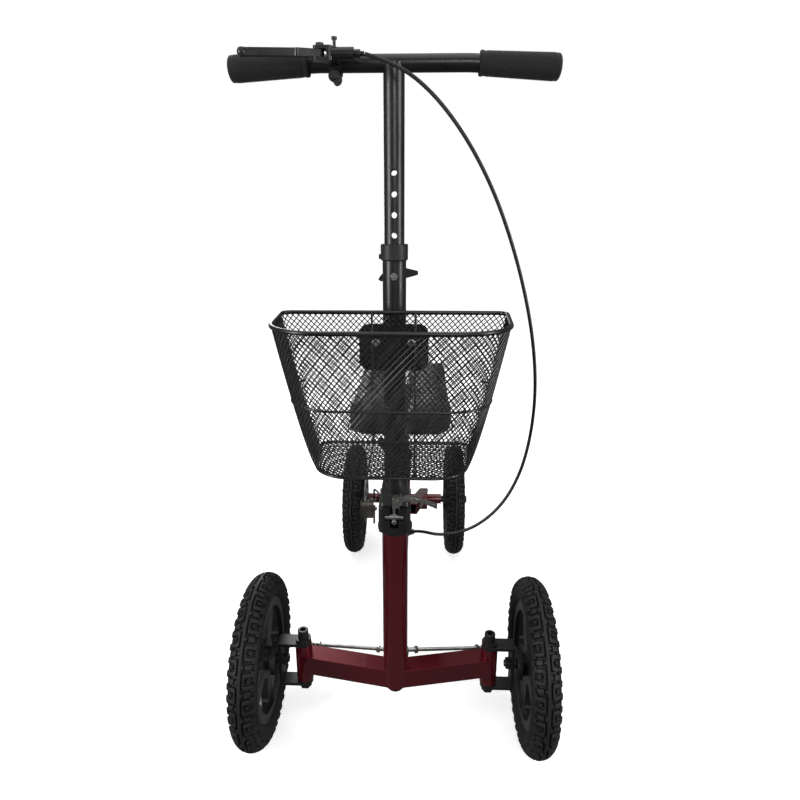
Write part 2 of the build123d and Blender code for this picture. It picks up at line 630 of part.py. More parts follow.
def build_fold_lower():
    """Lower half of the fold joint, clamped on the steerer, with the latch slot in its front."""
    half = FOLD_BLOCK_WIDTH / 2
    body = block((-half, half), (FOLD_BLOCK_FRONT, FOLD_Y), (FOLD_BLOCK_LOW, FOLD_Z))
    body = fillet(body.edges().filter_by(Axis.Z), 9)
    body -= crosswise(FOLD_Y, FOLD_Z, -half - 1, half + 1, FOLD_KNUCKLE_OD + 2 * GAP)
    ear = 12.0
    for low, high in ((-half + 2, -ear), (ear, half - 2)):
        body += hinge_knuckle(low, high)
        body += block((low, high), (FOLD_Y - 12, FOLD_Y), (FOLD_Z - 20, FOLD_Z - FOLD_KNUCKLE_OD / 2 + 2))
        body += block((low, high), (FOLD_Y - 4, FOLD_Y + 4), (FOLD_Z - 12, FOLD_Z - 5))
    body -= upright(0, STEER_Y, FOLD_BLOCK_LOW - 1, FOLD_Z - STEERER_DEPTH, STEERER_OD)
    body -= upright(0, STEER_Y, FOLD_Z - STEERER_DEPTH, FOLD_Z + 1, STEERER_ID)
    # The latch bolt's slot, and the seat that its barrel turns in, both open to the front
    swing = LATCH_BARREL / 2
    seat = LATCH_BARREL_OD / 2 + RUNNING
    slot_half = LATCH_NUT_OD / 2 + 1
    slot_back = STEER_Y - STEERER_OD / 2 - 1.2
    slot_low = LATCH_Z - LATCH_TAIL - 5
    body -= block((-slot_half, slot_half), (FOLD_BLOCK_FRONT - 1, slot_back), (slot_low, FOLD_Z + 1))
    body -= crosswise(LATCH_Y, LATCH_Z, -swing, swing, 2 * seat)
    body -= block((-swing, swing), (FOLD_BLOCK_FRONT - 1, LATCH_Y), (LATCH_Z - seat, LATCH_Z + seat))
    body -= crosswise(FOLD_Y, FOLD_Z, -half - 1, half + 1, FOLD_PIN)
    keep("fold_lower_block", body)
    keep("fold_hinge_pin", crosswise(FOLD_Y, FOLD_Z, -half - 1, half + 1, FOLD_PIN))


def build_fold_upper():
    """Upper half of the fold joint: a bell round the foot of the column."""
    low, high = FOLD_Z + GAP, FOLD_Z + FOLD_TOP_HEIGHT
    foot_half = FOLD_BLOCK_WIDTH / 2 - 1
    foot = Plane(origin=(0, (FOLD_TOP_FRONT + FOLD_Y) / 2, low))
    foot_outline = foot * RectangleRounded(2 * foot_half, FOLD_Y - FOLD_TOP_FRONT, 8)
    neck = Plane(origin=(0, STEER_Y, high))
    neck_outline = neck * RectangleRounded(COLUMN_OD + 5, COLUMN_OD + 5, 12)
    bell = loft([foot_outline, neck_outline])
    bell -= crosswise(FOLD_Y, FOLD_Z, -foot_half - 5, foot_half + 5, FOLD_KNUCKLE_OD + 2 * GAP)
    ear = 12.0 - GAP
    bell += hinge_knuckle(-ear, ear)
    bell += block((-ear, ear), (FOLD_Y - 14, FOLD_Y), (low, low + 7))
    bell -= upright(0, STEER_Y, FOLD_Z + 5, high + 1, COLUMN_OD)
    bell -= crosswise(FOLD_Y, FOLD_Z, -ear - 1, ear + 1, FOLD_PIN + 2 * RUNNING)
    # The cam presses on this sloping seat across the bell's front
    slope = radians(CAM_SEAT_ANGLE)
    reach = CAM_EYE_OD / 2 + GAP
    seat = Pos(0, LATCH_Y + reach * sin(slope), CAM_Z - reach * cos(slope))
    cutter = Box(2 * FOLD_BLOCK_WIDTH, 2 * FOLD_TOP_HEIGHT, 2 * FOLD_TOP_HEIGHT, align=BASE)
    keep("fold_upper_block", bell - seat * Rot(CAM_SEAT_ANGLE, 0, 0) * cutter)


def build_latch():
    """Swinging bolt with its trunnion barrel and domed nut, and the cam lever on its head."""
    neck_top = CAM_Z - CAM_EYE_OD / 2 - 2
    half = CAM_FORK / 2
    bolt = upright(0, LATCH_Y, LATCH_Z - LATCH_TAIL, neck_top, LATCH_BOLT)
    bolt += crosswise(LATCH_Y, LATCH_Z, -LATCH_BARREL / 2 + GAP, LATCH_BARREL / 2 - GAP, LATCH_BARREL_OD)
    head = block((-LATCH_BOLT / 2, CAM_X + 3), (LATCH_Y - half, LATCH_Y + half), (neck_top - 2, CAM_Z))
    head += lengthwise(CAM_X, CAM_Z, LATCH_Y - half, LATCH_Y + half, 2 * CAM_PIN)
    pin_front, pin_back = LATCH_Y - CAM_THICKNESS / 2 - 1, LATCH_Y + CAM_THICKNESS / 2 - 0.5
    head += lengthwise(CAM_X, CAM_Z, pin_front, pin_back, CAM_PIN)
    nut_low = LATCH_Z - LATCH_TAIL + 1
    nut = upright(0, LATCH_Y, nut_low, nut_low + LATCH_NUT, LATCH_NUT_OD)
    nut = fillet(nut.edges().group_by(Axis.Z)[0], 2.5 * CHAMFER)
    nut -= upright(0, LATCH_Y, nut_low - 1, LATCH_Z, LATCH_BOLT)
    return bolt, head, nut


def cam_lever():
    """Polished cam lever: a round eye and a long, slightly drooping thumb blade."""
    low, high = LATCH_Y - CAM_THICKNESS / 2, LATCH_Y + CAM_THICKNESS / 2
    top = Vector(CAM_X, CAM_Z + CAM_EYE_OD / 2)
    tip = Vector(CAM_X + CAM_REACH, CAM_Z - CAM_DROP)
    crest = Vector(CAM_X + CAM_REACH * 0.35, CAM_Z + CAM_EYE_OD / 2 - 1.5)
    upper = Spline(top, crest, tip + Vector(0, 2.5), tangents=(Vector(1, 0.05), Vector(1, -0.42)))
    belly = Vector(CAM_X + CAM_REACH * 0.35, CAM_Z + 1.5)
    root = Vector(CAM_X, CAM_Z - 1)
    lower = Spline(tip - Vector(1, 2.5), belly, root, tangents=(Vector(-1, 0.42), Vector(-1, 0)))
    outline = make_face([upper, Line(upper @ 1, lower @ 0), lower, Line(lower @ 1, upper @ 0)])
    blade = facing_front(high) * extrude(outline, CAM_THICKNESS)
    lever = blade + lengthwise(CAM_X, CAM_Z, low, high, CAM_EYE_OD)
    half = CAM_FORK / 2 + GAP
    lever -= lengthwise(CAM_X, CAM_Z, LATCH_Y - half, LATCH_Y + half, CAM_EYE_OD + 2)
    return lever - lengthwise(CAM_X, CAM_Z, low - 1, high + 1, CAM_PIN + 2 * RUNNING)


def build_latch_nodes():
    bolt, head, nut = build_latch()
    keep("swing_bolt", bolt + head, nut)
    keep("cam_lever", cam_lever())


# ---------------------------------------------------------------- column
def build_column():
    foot = FOLD_Z + 5
    tube = upright(0, STEER_Y, foot, COLUMN_TOP, COLUMN_OD)
    tube -= upright(0, STEER_Y, foot + 6, COLUMN_TOP + 1, STEM_OD + 2 * RUNNING)
    tube -= lengthwise(0, PIN_Z, STEER_Y - COLUMN_OD, STEER_Y - STEM_OD / 2, KEEPER_OD)
    boss_end = STEER_Y + COLUMN_OD / 2 + PIN_BOSS
    boss = lengthwise(0, PIN_Z, STEER_Y, boss_end, PIN_BOSS_OD)
    tube += boss - upright(0, STEER_Y, PIN_Z - PIN_BOSS_OD, PIN_Z + PIN_BOSS_OD, STEM_OD + 2 * RUNNING)
    tube -= lengthwise(0, PIN_Z, STEER_Y, boss_end + 1, PIN_DIAMETER + 2 * RUNNING)
    keep("lower_column", tube)
    low = COLUMN_TOP - COLLAR_HEIGHT
    collar = upright(0, STEER_Y, low, COLUMN_TOP, COLLAR_OD)
    collar = chamfer(collar.edges().group_by(Axis.Z)[0], 2 * CHAMFER)
    collar = fillet(collar.edges().group_by(Axis.Z)[-1], 1.5 * CHAMFER)
    collar -= upright(0, STEER_Y, low - 1, COLUMN_TOP + 1, COLUMN_OD)
    screw_z = low + COLLAR_HEIGHT / 4
    head_x = -COLLAR_OD / 2 - 1.5
    screw = crosswise(STEER_Y, screw_z, head_x, -COLUMN_OD / 2, COLLAR_SCREW)
    screw += crosswise(STEER_Y, screw_z, head_x - 1, -COLLAR_OD / 2, COLLAR_SCREW + 3)
    keep("height_collar", collar - screw, screw)


def build_height_pin():
    """Spring pin with its winged knob at the back of the column, and the keeper in its front."""
    knob_low = STEER_Y + COLUMN_OD / 2 + PIN_BOSS + GAP
    pin = lengthwise(0, PIN_Z, STEER_Y + STEM_OD / 2 + GAP, knob_low + KNOB_THICKNESS - 2, PIN_DIAMETER)
    upper_edge = [(-26, -9), (-21, -2), (-9, 9), (9, 9), (34, 3)]
    lower_edge = [(34, -2), (9, -9), (-9, -9), (-21, -12)]
    outline = fillet(make_face(Polyline(*upper_edge, *lower_edge, close=True)).vertices(), KNOB_ROUNDING)
    shape = facing_front(knob_low) * Pos(0, PIN_Z) * extrude(outline, -KNOB_THICKNESS)
    shape -= lengthwise(0, PIN_Z, knob_low - 1, knob_low + KNOB_THICKNESS - 2, PIN_DIAMETER)
    keep("height_pin", shape, pin)
    face = STEER_Y - COLUMN_OD / 2
    inner = STEER_Y - STEM_OD / 2 - RUNNING - 0.1
    stem_space = upright(0, STEER_Y, PIN_Z - KEEPER_OD, PIN_Z + KEEPER_OD, STEM_OD + 2 * RUNNING)
    keep("pin_keeper", lengthwise(0, PIN_Z, face - 1, inner, KEEPER_OD) - stem_space)


# ---------------------------------------------------------------- stem and handlebar
def handlebar_path():
    """Centre line of the handlebar: level in the middle, drooping a little at each end."""
    end_z = HANDLE_Z - HANDLE_DROOP
    points = [
        (-HANDLE_HALF, STEER_Y, end_z),
        (-HANDLE_STRAIGHT, STEER_Y, HANDLE_Z),
        (HANDLE_STRAIGHT, STEER_Y, HANDLE_Z),
        (HANDLE_HALF, STEER_Y, end_z),
    ]
    return FilletPolyline(*points, radius=HANDLE_BEND_RADIUS)


def grip():
    """Moulded rubber grip on the +X end of the bar, wider towards its closed end."""
    slope = HANDLE_DROOP / (HANDLE_HALF - HANDLE_STRAIGHT)
    start = (GRIP_START, STEER_Y, HANDLE_Z - slope * (GRIP_START - HANDLE_STRAIGHT))
    direction = Vector(1, 0, -slope)
    length = (GRIP_END - GRIP_START) * hypot(1, slope)
    place = Plane(origin=start, z_dir=direction).location
    body = place * Cone(GRIP_OD_INNER / 2, GRIP_OD_OUTER / 2, length, align=BASE)
    body = fillet(body.edges().sort_by(Axis.X)[-1], 5)
    bore_end = HANDLE_HALF * hypot(1, slope) - GRIP_START * hypot(1, slope) + 1
    return body - place * Cylinder(BAR_TUBE_OD / 2, bore_end, align=BASE)


def build_stem():
    tube = upright(0, STEER_Y, STEM_LOW, HANDLE_Z, STEM_OD)
    tube -= upright(0, STEER_Y, STEM_LOW - 1, HANDLE_Z - BAR_TUBE_OD + 2, STEM_ID)
    for step in range(-HOLES_BELOW_PIN, HOLES_ABOVE_PIN + 1):
        tube -= lengthwise(0, PIN_Z + step * HOLE_PITCH, STEER_Y - STEM_OD, STEER_Y + STEM_OD, STEM_HOLE)
    keep("upper_stem", tube - crosswise(STEER_Y, HANDLE_Z, -STEM_OD, STEM_OD, BAR_TUBE_OD))
    path = handlebar_path()
    section = Plane(origin=path @ 0, z_dir=path % 0) * Circle(BAR_TUBE_OD / 2)
    hollow = Plane(origin=path @ 0, z_dir=path % 0) * Circle(BAR_TUBE_ID / 2)
    keep("handlebar", sweep(section, path) - sweep(hollow, path))
    keep("grip_left", grip())
    keep("grip_right", other_side(grip()))


def build_brake_lever():
    """Lever perch clamped on the bar, the lever, its cable adjuster and the parking button."""
    low, high = PERCH_X - PERCH_WIDTH / 2, PERCH_X + PERCH_WIDTH / 2
    ear_z = HANDLE_Z - BAR_TUBE_OD / 2 - 7
    ring = crosswise(STEER_Y, HANDLE_Z, low, high, PERCH_OD)
    ring += lengthwise(PERCH_X, ear_z, STEER_Y - 20, STEER_Y + 6, 15)
    ring += block((low, high), (LEVER_Y, STEER_Y - 8), (LEVER_Z - 8, LEVER_Z + 5))
    body_end = LEVER_PIVOT_X + 42
    ring += crosswise(LEVER_Y, LEVER_Z, LEVER_PIVOT_X + 14, body_end, 15)
    fork_y = (LEVER_Y - FORK_WIDTH / 2, LEVER_Y + FORK_WIDTH / 2)
    fork_z = (LEVER_Z - FORK_HEIGHT / 2, LEVER_Z + FORK_HEIGHT / 2)
    fork = block((LEVER_PIVOT_X - 8, LEVER_PIVOT_X + 16), fork_y, fork_z)
    ring += fillet(fork.edges().filter_by(Axis.Z), 4)
    slot_half = LEVER_HEIGHT / 2 + RUNNING
    slot_y = (LEVER_Y - FORK_WIDTH, LEVER_Y + FORK_WIDTH)
    slot_z = (LEVER_Z - slot_half, LEVER_Z + slot_half)
    ring -= block((LEVER_PIVOT_X - 12, LEVER_PIVOT_X + 9), slot_y, slot_z)
    ring -= crosswise(STEER_Y, HANDLE_Z, low - 1, high + 1, BAR_TUBE_OD)
    bolt_hole = lengthwise(PERCH_X, ear_z, STEER_Y - 26, STEER_Y + 10, 5)
    pivot_hole = upright(LEVER_PIVOT_X, LEVER_Y, LEVER_Z - 12, LEVER_Z + 12, 6)
    button_hole = upright(PERCH_X + 4, LEVER_Y + 1, LEVER_Z, LEVER_Z + 20, 4 + 2 * RUNNING)
    cable_hole = crosswise(LEVER_Y, LEVER_Z, body_end - 6, body_end + 1, 6)
    keep("lever_perch", ring - bolt_hole - pivot_hole - button_hole - cable_hole)

    pivot = upright(LEVER_PIVOT_X, LEVER_Y, *fork_z, 6)
    pivot += upright(LEVER_PIVOT_X, LEVER_Y, fork_z[1], fork_z[1] + 3.5, 10)
    clamp_bolt = lengthwise(PERCH_X, ear_z, STEER_Y - 20, STEER_Y + 6, 5)
    clamp_bolt += lengthwise(PERCH_X, ear_z, STEER_Y - 24, STEER_Y - 20, 9)
    adjuster = crosswise(LEVER_Y, LEVER_Z, body_end - 6, body_end + 13, 6)
    adjuster += crosswise(LEVER_Y, LEVER_Z, body_end + 1, body_end + 8, 10)
    keep("perch_hardware", pivot, clamp_bolt, adjuster)

    button = upright(PERCH_X + 4, LEVER_Y + 1, LEVER_Z + 4.5, LEVER_Z + 19, 4)
    keep("parking_button", button + upright(PERCH_X + 4, LEVER_Y + 1, LEVER_Z + 16, LEVER_Z + 19, 7))

    pivot_place = (LEVER_PIVOT_X, LEVER_Y)
    knee = (LEVER_PIVOT_X - 26, LEVER_Y - 8)
    tip = (LEVER_TIP_X, LEVER_TIP_Y)
    bottom, top = LEVER_Z - LEVER_HEIGHT / 2, LEVER_Z + LEVER_HEIGHT / 2
    lever = flat_link(pivot_place, knee, 11, bottom, top) + flat_link(knee, tip, LEVER_DEPTH, bottom, top)
    lever += Pos(*tip, LEVER_Z) * Sphere(LEVER_BALL / 2)
    lever -= upright(LEVER_PIVOT_X, LEVER_Y, bottom - 1, top + 1, 6 + 2 * RUNNING)
    keep("brake_lever", lever)


# ---------------------------------------------------------------- basket
def basket_outline(width, front_width, front, corner, inset, z):
    """Plan outline of the basket at one height: small corners behind, large ones in front."""
    low, high = front + inset, BASKET_BACK_Y - inset
    near, far = front_width / 2 - inset, width / 2 - inset
    sheet = make_face(Polyline((-near, low), (near, low), (far, high), (-far, high), close=True))
    sheet = fillet(sheet.vertices().group_by(Axis.Y)[0], corner - inset)
    sheet = fillet(sheet.vertices().group_by(Axis.Y)[-1], BASKET_BACK_CORNER - inset)
    return Plane(origin=(0, 0, z)) * sheet


def basket_shell(inset, low, high):
    """Tapered body between two heights, its sides parallel to the basket's outside."""
    floor = (BASKET_FLOOR_WIDTH, BASKET_FLOOR_FRONT_WIDTH, BASKET_FLOOR_FRONT_Y, BASKET_FLOOR_CORNER)
    rim_size = (BASKET_RIM_WIDTH, BASKET_RIM_FRONT_WIDTH, BASKET_RIM_FRONT_Y, BASKET_RIM_CORNER)
    outlines = []
    levels = 4
    for level in range(levels + 1):
        z = low + (high - low) * level / levels
        share = max(z - BASKET_FLOOR_Z, 0) / (BASKET_RIM_Z - BASKET_FLOOR_Z)
        sizes = [a + share**BASKET_FLARE * (b - a) for a, b in zip(floor, rim_size)]
        outlines.append(basket_outline(*sizes, inset, z))
    return loft(outlines)


def build_basket():
    half = BASKET_RIM_WIRE / 2
    top = BASKET_RIM_Z - half
    body = basket_shell(0, BASKET_FLOOR_Z, top)
    body -= basket_shell(BASKET_WALL, BASKET_FLOOR_Z + BASKET_WALL, top + 1)
    hole_y = (BASKET_BACK_Y - 10, BASKET_BACK_Y + 30)
    holes = []
    for side in (-1, 1):
        x = side * BASKET_BOLT_SPACING / 2
        holes.append(lengthwise(x, BASKET_BOLT_Z, *hole_y, BASKET_BOLT + 2 * SNUG))
    rim_size = (BASKET_RIM_WIDTH, BASKET_RIM_FRONT_WIDTH, BASKET_RIM_FRONT_Y, BASKET_RIM_CORNER)
    outer = basket_outline(*rim_size, -half / 2, top)
    inner = basket_outline(*rim_size, half + 1, top)
    in_front = Pos(0, BASKET_BACK_Y - BASKET_RIM_WIDTH / 2, top)
    outer &= in_front * Rectangle(2 * BASKET_RIM_WIDTH, BASKET_RIM_WIDTH)
    keep("basket", body - holes[0] - holes[1], extrude(outer - inner, BASKET_RIM_WIRE))

    plate_back = STEER_Y - COLUMN_OD / 2 - 4
    plate_x = (-BRACKET_WIDTH / 2, BRACKET_WIDTH / 2)
    plate_y = (BASKET_BACK_Y + GAP, BASKET_BACK_Y + GAP + BRACKET_PLATE)
    plate = block(plate_x, plate_y, (BRACKET_LOW, BRACKET_HIGH))
    plate = fillet(plate.edges().filter_by(Axis.Y), BRACKET_CORNER)
    clamp_y = (plate_back, STEER_Y + COLUMN_OD / 2 + BRACKET_CLAMP_WALL)
    clamp_half = COLUMN_OD / 2 + BRACKET_CLAMP_WALL + 1
    clamp = block((-clamp_half, clamp_half), clamp_y, (BRACKET_LOW + 12, BRACKET_HIGH - 16))
    clamp = fillet(clamp.edges().filter_by(Axis.Z), 6)
    bracket = plate + clamp - upright(0, STEER_Y, BRACKET_LOW - 1, BRACKET_HIGH + 1, COLUMN_OD)
    keep("basket_bracket", bracket - holes[0] - holes[1])

    bolts = []
    for side in (-1, 1):
        x = side * BASKET_BOLT_SPACING / 2
        head_back = BASKET_BACK_Y - BASKET_WALL - SNUG
        bolt = lengthwise(x, BASKET_BOLT_Z, head_back - 1, plate_back + 9, BASKET_BOLT)
        head = lengthwise(x, BASKET_BOLT_Z, head_back - 4, head_back, 12)
        bolts.append(bolt + fillet(head.edges().sort_by(Axis.Y)[0], 2))
    keep("basket_bolts", *bolts)


# ---------------------------------------------------------------- frame and knee pad
def build_frame():
    head = upright(0, STEER_Y, BAR_HIGH, HEAD_TUBE_TOP, HEAD_TUBE_OD)
    socket = upright(0, POST_Y, SOCKET_LOW, SOCKET_HIGH, SOCKET_OD)
    spine = square_tube((0, STEER_Y, SPINE_FRONT_Z), (0, POST_Y, SPINE_REAR_Z), SPINE_SIZE, BAR_WALL)
    keep("spine", spine - head - socket)
    keep("post_socket", socket - upright(0, POST_Y, SOCKET_LOW - 1, SOCKET_HIGH + 1, POST_OD + 2 * RUNNING))

    axle_tube = crosswise(WHEELBASE, AXLE_Z, -REAR_TUBE_HALF, REAR_TUBE_HALF, REAR_TUBE_OD)
    lug_low, lug_high = STAY_REAR_X - LUG_WIDTH / 2, STAY_REAR_X + LUG_WIDTH / 2
    lug = crosswise(WHEELBASE, AXLE_Z, lug_low, lug_high, 2 * LUG_RADIUS)
    stay_front = (STAY_FRONT_X, POST_Y, STAY_FRONT_Z)
    stay_rear = (STAY_REAR_X, WHEELBASE, AXLE_Z + STAY_REAR_RISE)
    stay = square_tube(stay_front, stay_rear, STAY_SIZE, BAR_WALL)
    stay = stay - socket - crosswise(WHEELBASE, AXLE_Z, 0, REAR_TUBE_HALF, 2 * LUG_RADIUS)
    keep("rear_stays", stay, other_side(stay))

    plug = 12.0
    hollow = crosswise(WHEELBASE, AXLE_Z, plug - REAR_TUBE_HALF, REAR_TUBE_HALF - plug, REAR_TUBE_ID)
    bore = crosswise(WHEELBASE, AXLE_Z, -REAR_TUBE_HALF - 1, REAR_TUBE_HALF + 1, AXLE_DIAMETER)
    bracket_y = (WHEELBASE - CALIPER_BACK, WHEELBASE)
    bracket = block((-REAR_TUBE_HALF + 1, -REAR_TUBE_HALF + 13), bracket_y, (AXLE_Z - 13, AXLE_Z + 13))
    keep("rear_axle_tube", axle_tube + lug + other_side(lug) + bracket - hollow - bore)

    outer = REAR_X + HUB_WIDTH / 2 + GAP
    rod = crosswise(WHEELBASE, AXLE_Z, -outer, outer, AXLE_DIAMETER)
    nuts, spacers = [], []
    for side in (-1, 1):
        nut_start = (side * outer, WHEELBASE, AXLE_Z)
        nut_end = (side * (outer + AXLE_HEAD), WHEELBASE, AXLE_Z)
        nuts.append(hex_bar(nut_start, nut_end, AXLE_HEX))
        near, far = side * REAR_TUBE_HALF, side * (REAR_X - HUB_WIDTH / 2 - GAP)
        spacer = crosswise(WHEELBASE, AXLE_Z, min(near, far), max(near, far), SPACER_OD)
        spacers.append(spacer - crosswise(WHEELBASE, AXLE_Z, -outer, outer, AXLE_DIAMETER))
    keep("rear_axle", rod + nuts[0] + nuts[1], *spacers)


def build_post():
    top = PAD_PLATE_TOP - PAD_PLATE
    post = upright(0, POST_Y, POST_LOW, top, POST_OD) - upright(0, POST_Y, POST_LOW - 1, top - 8, POST_ID)
    keep("knee_post", post)
    low = SOCKET_HIGH - CLAMP_HEIGHT
    ring = upright(0, POST_Y, low, SOCKET_HIGH, CLAMP_OD)
    ear_face = POST_Y - 19
    ring += block((CLAMP_LEVER_X - 2, 0), (ear_face, POST_Y - 4), (low, SOCKET_HIGH))
    ring -= upright(0, POST_Y, low - 1, SOCKET_HIGH + 1, SOCKET_OD)
    bolt_z = (low + SOCKET_HIGH) / 2
    lever_y = ear_face - GAP
    bolt_x = CLAMP_LEVER_X + 5
    bolt_end = lever_y - CLAMP_LEVER_THICKNESS - 1.5
    bolt = lengthwise(bolt_x, bolt_z, bolt_end, POST_Y - 4, CLAMP_BOLT)
    keep("post_clamp", ring - bolt, bolt)
    outline = SlotCenterPoint((-12, 22), (-24, 44), 13)
    lever = Pos(bolt_x, 0, bolt_z) * facing_front(lever_y) * extrude(outline, CLAMP_LEVER_THICKNESS)
    lever += lengthwise(bolt_x, bolt_z, lever_y - CLAMP_LEVER_THICKNESS, lever_y, 17)
    pivot = lengthwise(bolt_x, bolt_z, lever_y - 10, POST_Y, CLAMP_BOLT + 2 * RUNNING)
    keep("post_clamp_lever", lever - pivot)


def build_pad():
    """Steel plate on the post and the two cushions, their tops sloping to a middle channel."""
    plate_low = PAD_PLATE_TOP - PAD_PLATE
    half = PAD_PLATE_WIDTH / 2
    plate = block((-half, half), (PAD_FRONT_Y + 14, PAD_BACK_Y - 14), (plate_low, PAD_PLATE_TOP))
    keep("pad_plate", fillet(plate.edges().filter_by(Axis.Z), 20))
    cushion_low = PAD_PLATE_TOP + GAP
    profile = Polyline(
        (PAD_INNER_X, cushion_low),
        (PAD_OUTER_X, cushion_low),
        (PAD_OUTER_X, PAD_OUTER_Z),
        (PAD_INNER_X, PAD_INNER_Z),
        close=True,
    )
    outline = fillet(make_face(profile).vertices(), PAD_CORNER)
    length = PAD_BACK_Y - PAD_FRONT_Y
    cushion = facing_front(PAD_FRONT_Y) * extrude(outline, -length)
    keep("pad_cushion_left", cushion)
    keep("pad_cushion_right", other_side(cushion))


# ---------------------------------------------------------------- disc brake
def build_rotor():
    """Brake disc on the hub flange of the rear wheel at -X, held by six screws."""
    face = -REAR_X + HUB_WIDTH / 2
    middle = (WHEELBASE, AXLE_Z)
    disc = crosswise(*middle, face, face + ROTOR_THICKNESS, ROTOR_OD)
    disc -= crosswise(*middle, face, face + ROTOR_THICKNESS, ROTOR_BORE)
    space_outer, space_inner = ROTOR_OD - 2 * ROTOR_BAND, HUB_FLANGE_DIAMETER
    space = crosswise(*middle, face, face + ROTOR_THICKNESS, space_outer)
    space -= crosswise(*middle, face, face + ROTOR_THICKNESS, space_inner)
    place = Pos(0, *middle)
    screws = []
    for number in range(ROTOR_BOLTS):
        turn = place * Rot(number * 360 / ROTOR_BOLTS, 0, 0)
        space -= turn * block((face, face + ROTOR_THICKNESS), (0, ROTOR_OD / 2), (-4, 4))
        disc -= turn * crosswise(0, ROTOR_BOLT_CIRCLE / 2, face, face + ROTOR_THICKNESS, ROTOR_SCREW)
        inner_face = face + ROTOR_THICKNESS
        screw = crosswise(0, ROTOR_BOLT_CIRCLE / 2, face - HUB_FLANGE + 2, inner_face, ROTOR_SCREW)
        screw += crosswise(0, ROTOR_BOLT_CIRCLE / 2, inner_face, inner_face + 1.8, ROTOR_SCREW + 3)
        screws.append(turn * screw)
    disc -= space
    vent_radius = (ROTOR_OD - ROTOR_BAND) / 2
    for number in range(ROTOR_VENTS):
        turn = place * Rot(number * 360 / ROTOR_VENTS, 0, 0)
        disc -= turn * crosswise(0, vent_radius, face, face + ROTOR_THICKNESS, ROTOR_HOLE)
    keep("brake_disc", disc, *screws)


def build_caliper():
    """Mechanical caliper in front of the axle, its two pads, its bracket and its arm."""
    face = -REAR_X + HUB_WIDTH / 2 + ROTOR_THICKNESS / 2
    front, back = WHEELBASE - CALIPER_FRONT, WHEELBASE - CALIPER_BACK
    half = CALIPER_HEIGHT / 2
    body = block((CALIPER_OUTER_X, CALIPER_INNER_X), (front, back), (AXLE_Z - half, AXLE_Z + half))
    body = fillet(body.edges().filter_by(Axis.X), 8)
    slot_x = (face - CALIPER_SLOT, face + CALIPER_SLOT)
    slot_y = (WHEELBASE - ROTOR_OD / 2 - 3, back + 1)
    body -= block(slot_x, slot_y, (AXLE_Z - half - 1, AXLE_Z + half + 1))
    pad_y = (WHEELBASE - ROTOR_OD / 2, WHEELBASE - ROTOR_OD / 2 + ROTOR_BAND + 3)
    pads = []
    for side in (-1, 1):
        near = face + side * (ROTOR_THICKNESS / 2 + GAP)
        far = face + side * CALIPER_SLOT
        pads.append(block((min(near, far), max(near, far)), pad_y, (AXLE_Z - 14, AXLE_Z + 14)))
    arm_y = (front + back) / 2
    boss = crosswise(arm_y, AXLE_Z, CALIPER_INNER_X, CALIPER_INNER_X + 2 * CALIPER_ARM, CALIPER_BOSS_OD)
    stop_z = (AXLE_Z + half, AXLE_Z + half + 6)
    stop = block((CALIPER_INNER_X - 8, CALIPER_INNER_X + 8), (arm_y - 7, arm_y + 7), stop_z)
    stop -= upright(CALIPER_INNER_X + 3, arm_y, stop_z[0] - 1, stop_z[1] + 1, CABLE_DIAMETER / 2)
    keep("brake_caliper", body + boss + stop, *pads)
    place = Plane(origin=(CALIPER_INNER_X + GAP, 0, 0), x_dir=(0, 1, 0), z_dir=(1, 0, 0)).location
    slot = SlotCenterPoint((arm_y - 6, AXLE_Z - 16), (arm_y - 12, AXLE_Z - 34), 10)
    arm_x = CALIPER_INNER_X + GAP
    arm = place * extrude(slot, CALIPER_ARM) + crosswise(arm_y, AXLE_Z, arm_x, arm_x + CALIPER_ARM, 20)
    keep("caliper_arm", arm - crosswise(arm_y, AXLE_Z, arm_x - 1, arm_x + 20, CALIPER_BOSS_OD + 2 * RUNNING))


# ---------------------------------------------------------------- brake cable
# From the lever's adjuster, out to the side in one long bow, in behind the head tube, along
# the left of the spine and the stay on the -X side, and down into the caliper's cable stop.
CABLE_ROUTE = [
    (-34, -77.5, 1122.5), (4, -81, 1112), (50, -84, 1079), (94, -82, 1027), (131, -77, 965),
    (160, -72, 897), (183, -67, 827), (200, -61, 756), (209, -55, 683), (207, -50, 611),
    (195, -46, 545), (168, -43, 487), (125, -38, 445), (76, -29, 427), (38, -6, 424),
    (14, 28, 398), (-12, 60, 358), (-25, 104, 318), (-26, 164, 294), (-25, 228, 286),
    (-26, 296, 282), (-33, 356, 278), (-45, 416, 262), (-54, 474, 243), (-65, 524, 236),
    (-78, 561, 227), (-81.5, 582, 215.5), (-82, 592.4, 199.6), (-82, 594, 181.8),
]
# The runs that carry a guide, each with the place on the frame that its foot reaches
CABLE_GUIDES = (
    (14, (0.0, STEER_Y, 411.0)),
    (18, (0.0, 196.0, 290.0)),
    (23, (-36.0, 499.0, 226.0)),
)


def cable_path():
    """Straight runs joined by tangent arcs, each as large as its two runs allow."""
    points = [Vector(*place) for place in CABLE_ROUTE]
    radii = []
    for before, here, after in zip(points, points[1:], points[2:]):
        arriving, leaving = here - before, after - here
        half_turn = radians(arriving.get_angle(leaving) / 2)
        radii.append(0.45 * min(arriving.length, leaving.length) / tan(half_turn))
    print("cable radii", [round(radius) for radius in radii])
    return FilletPolyline(*points, radius=radii)


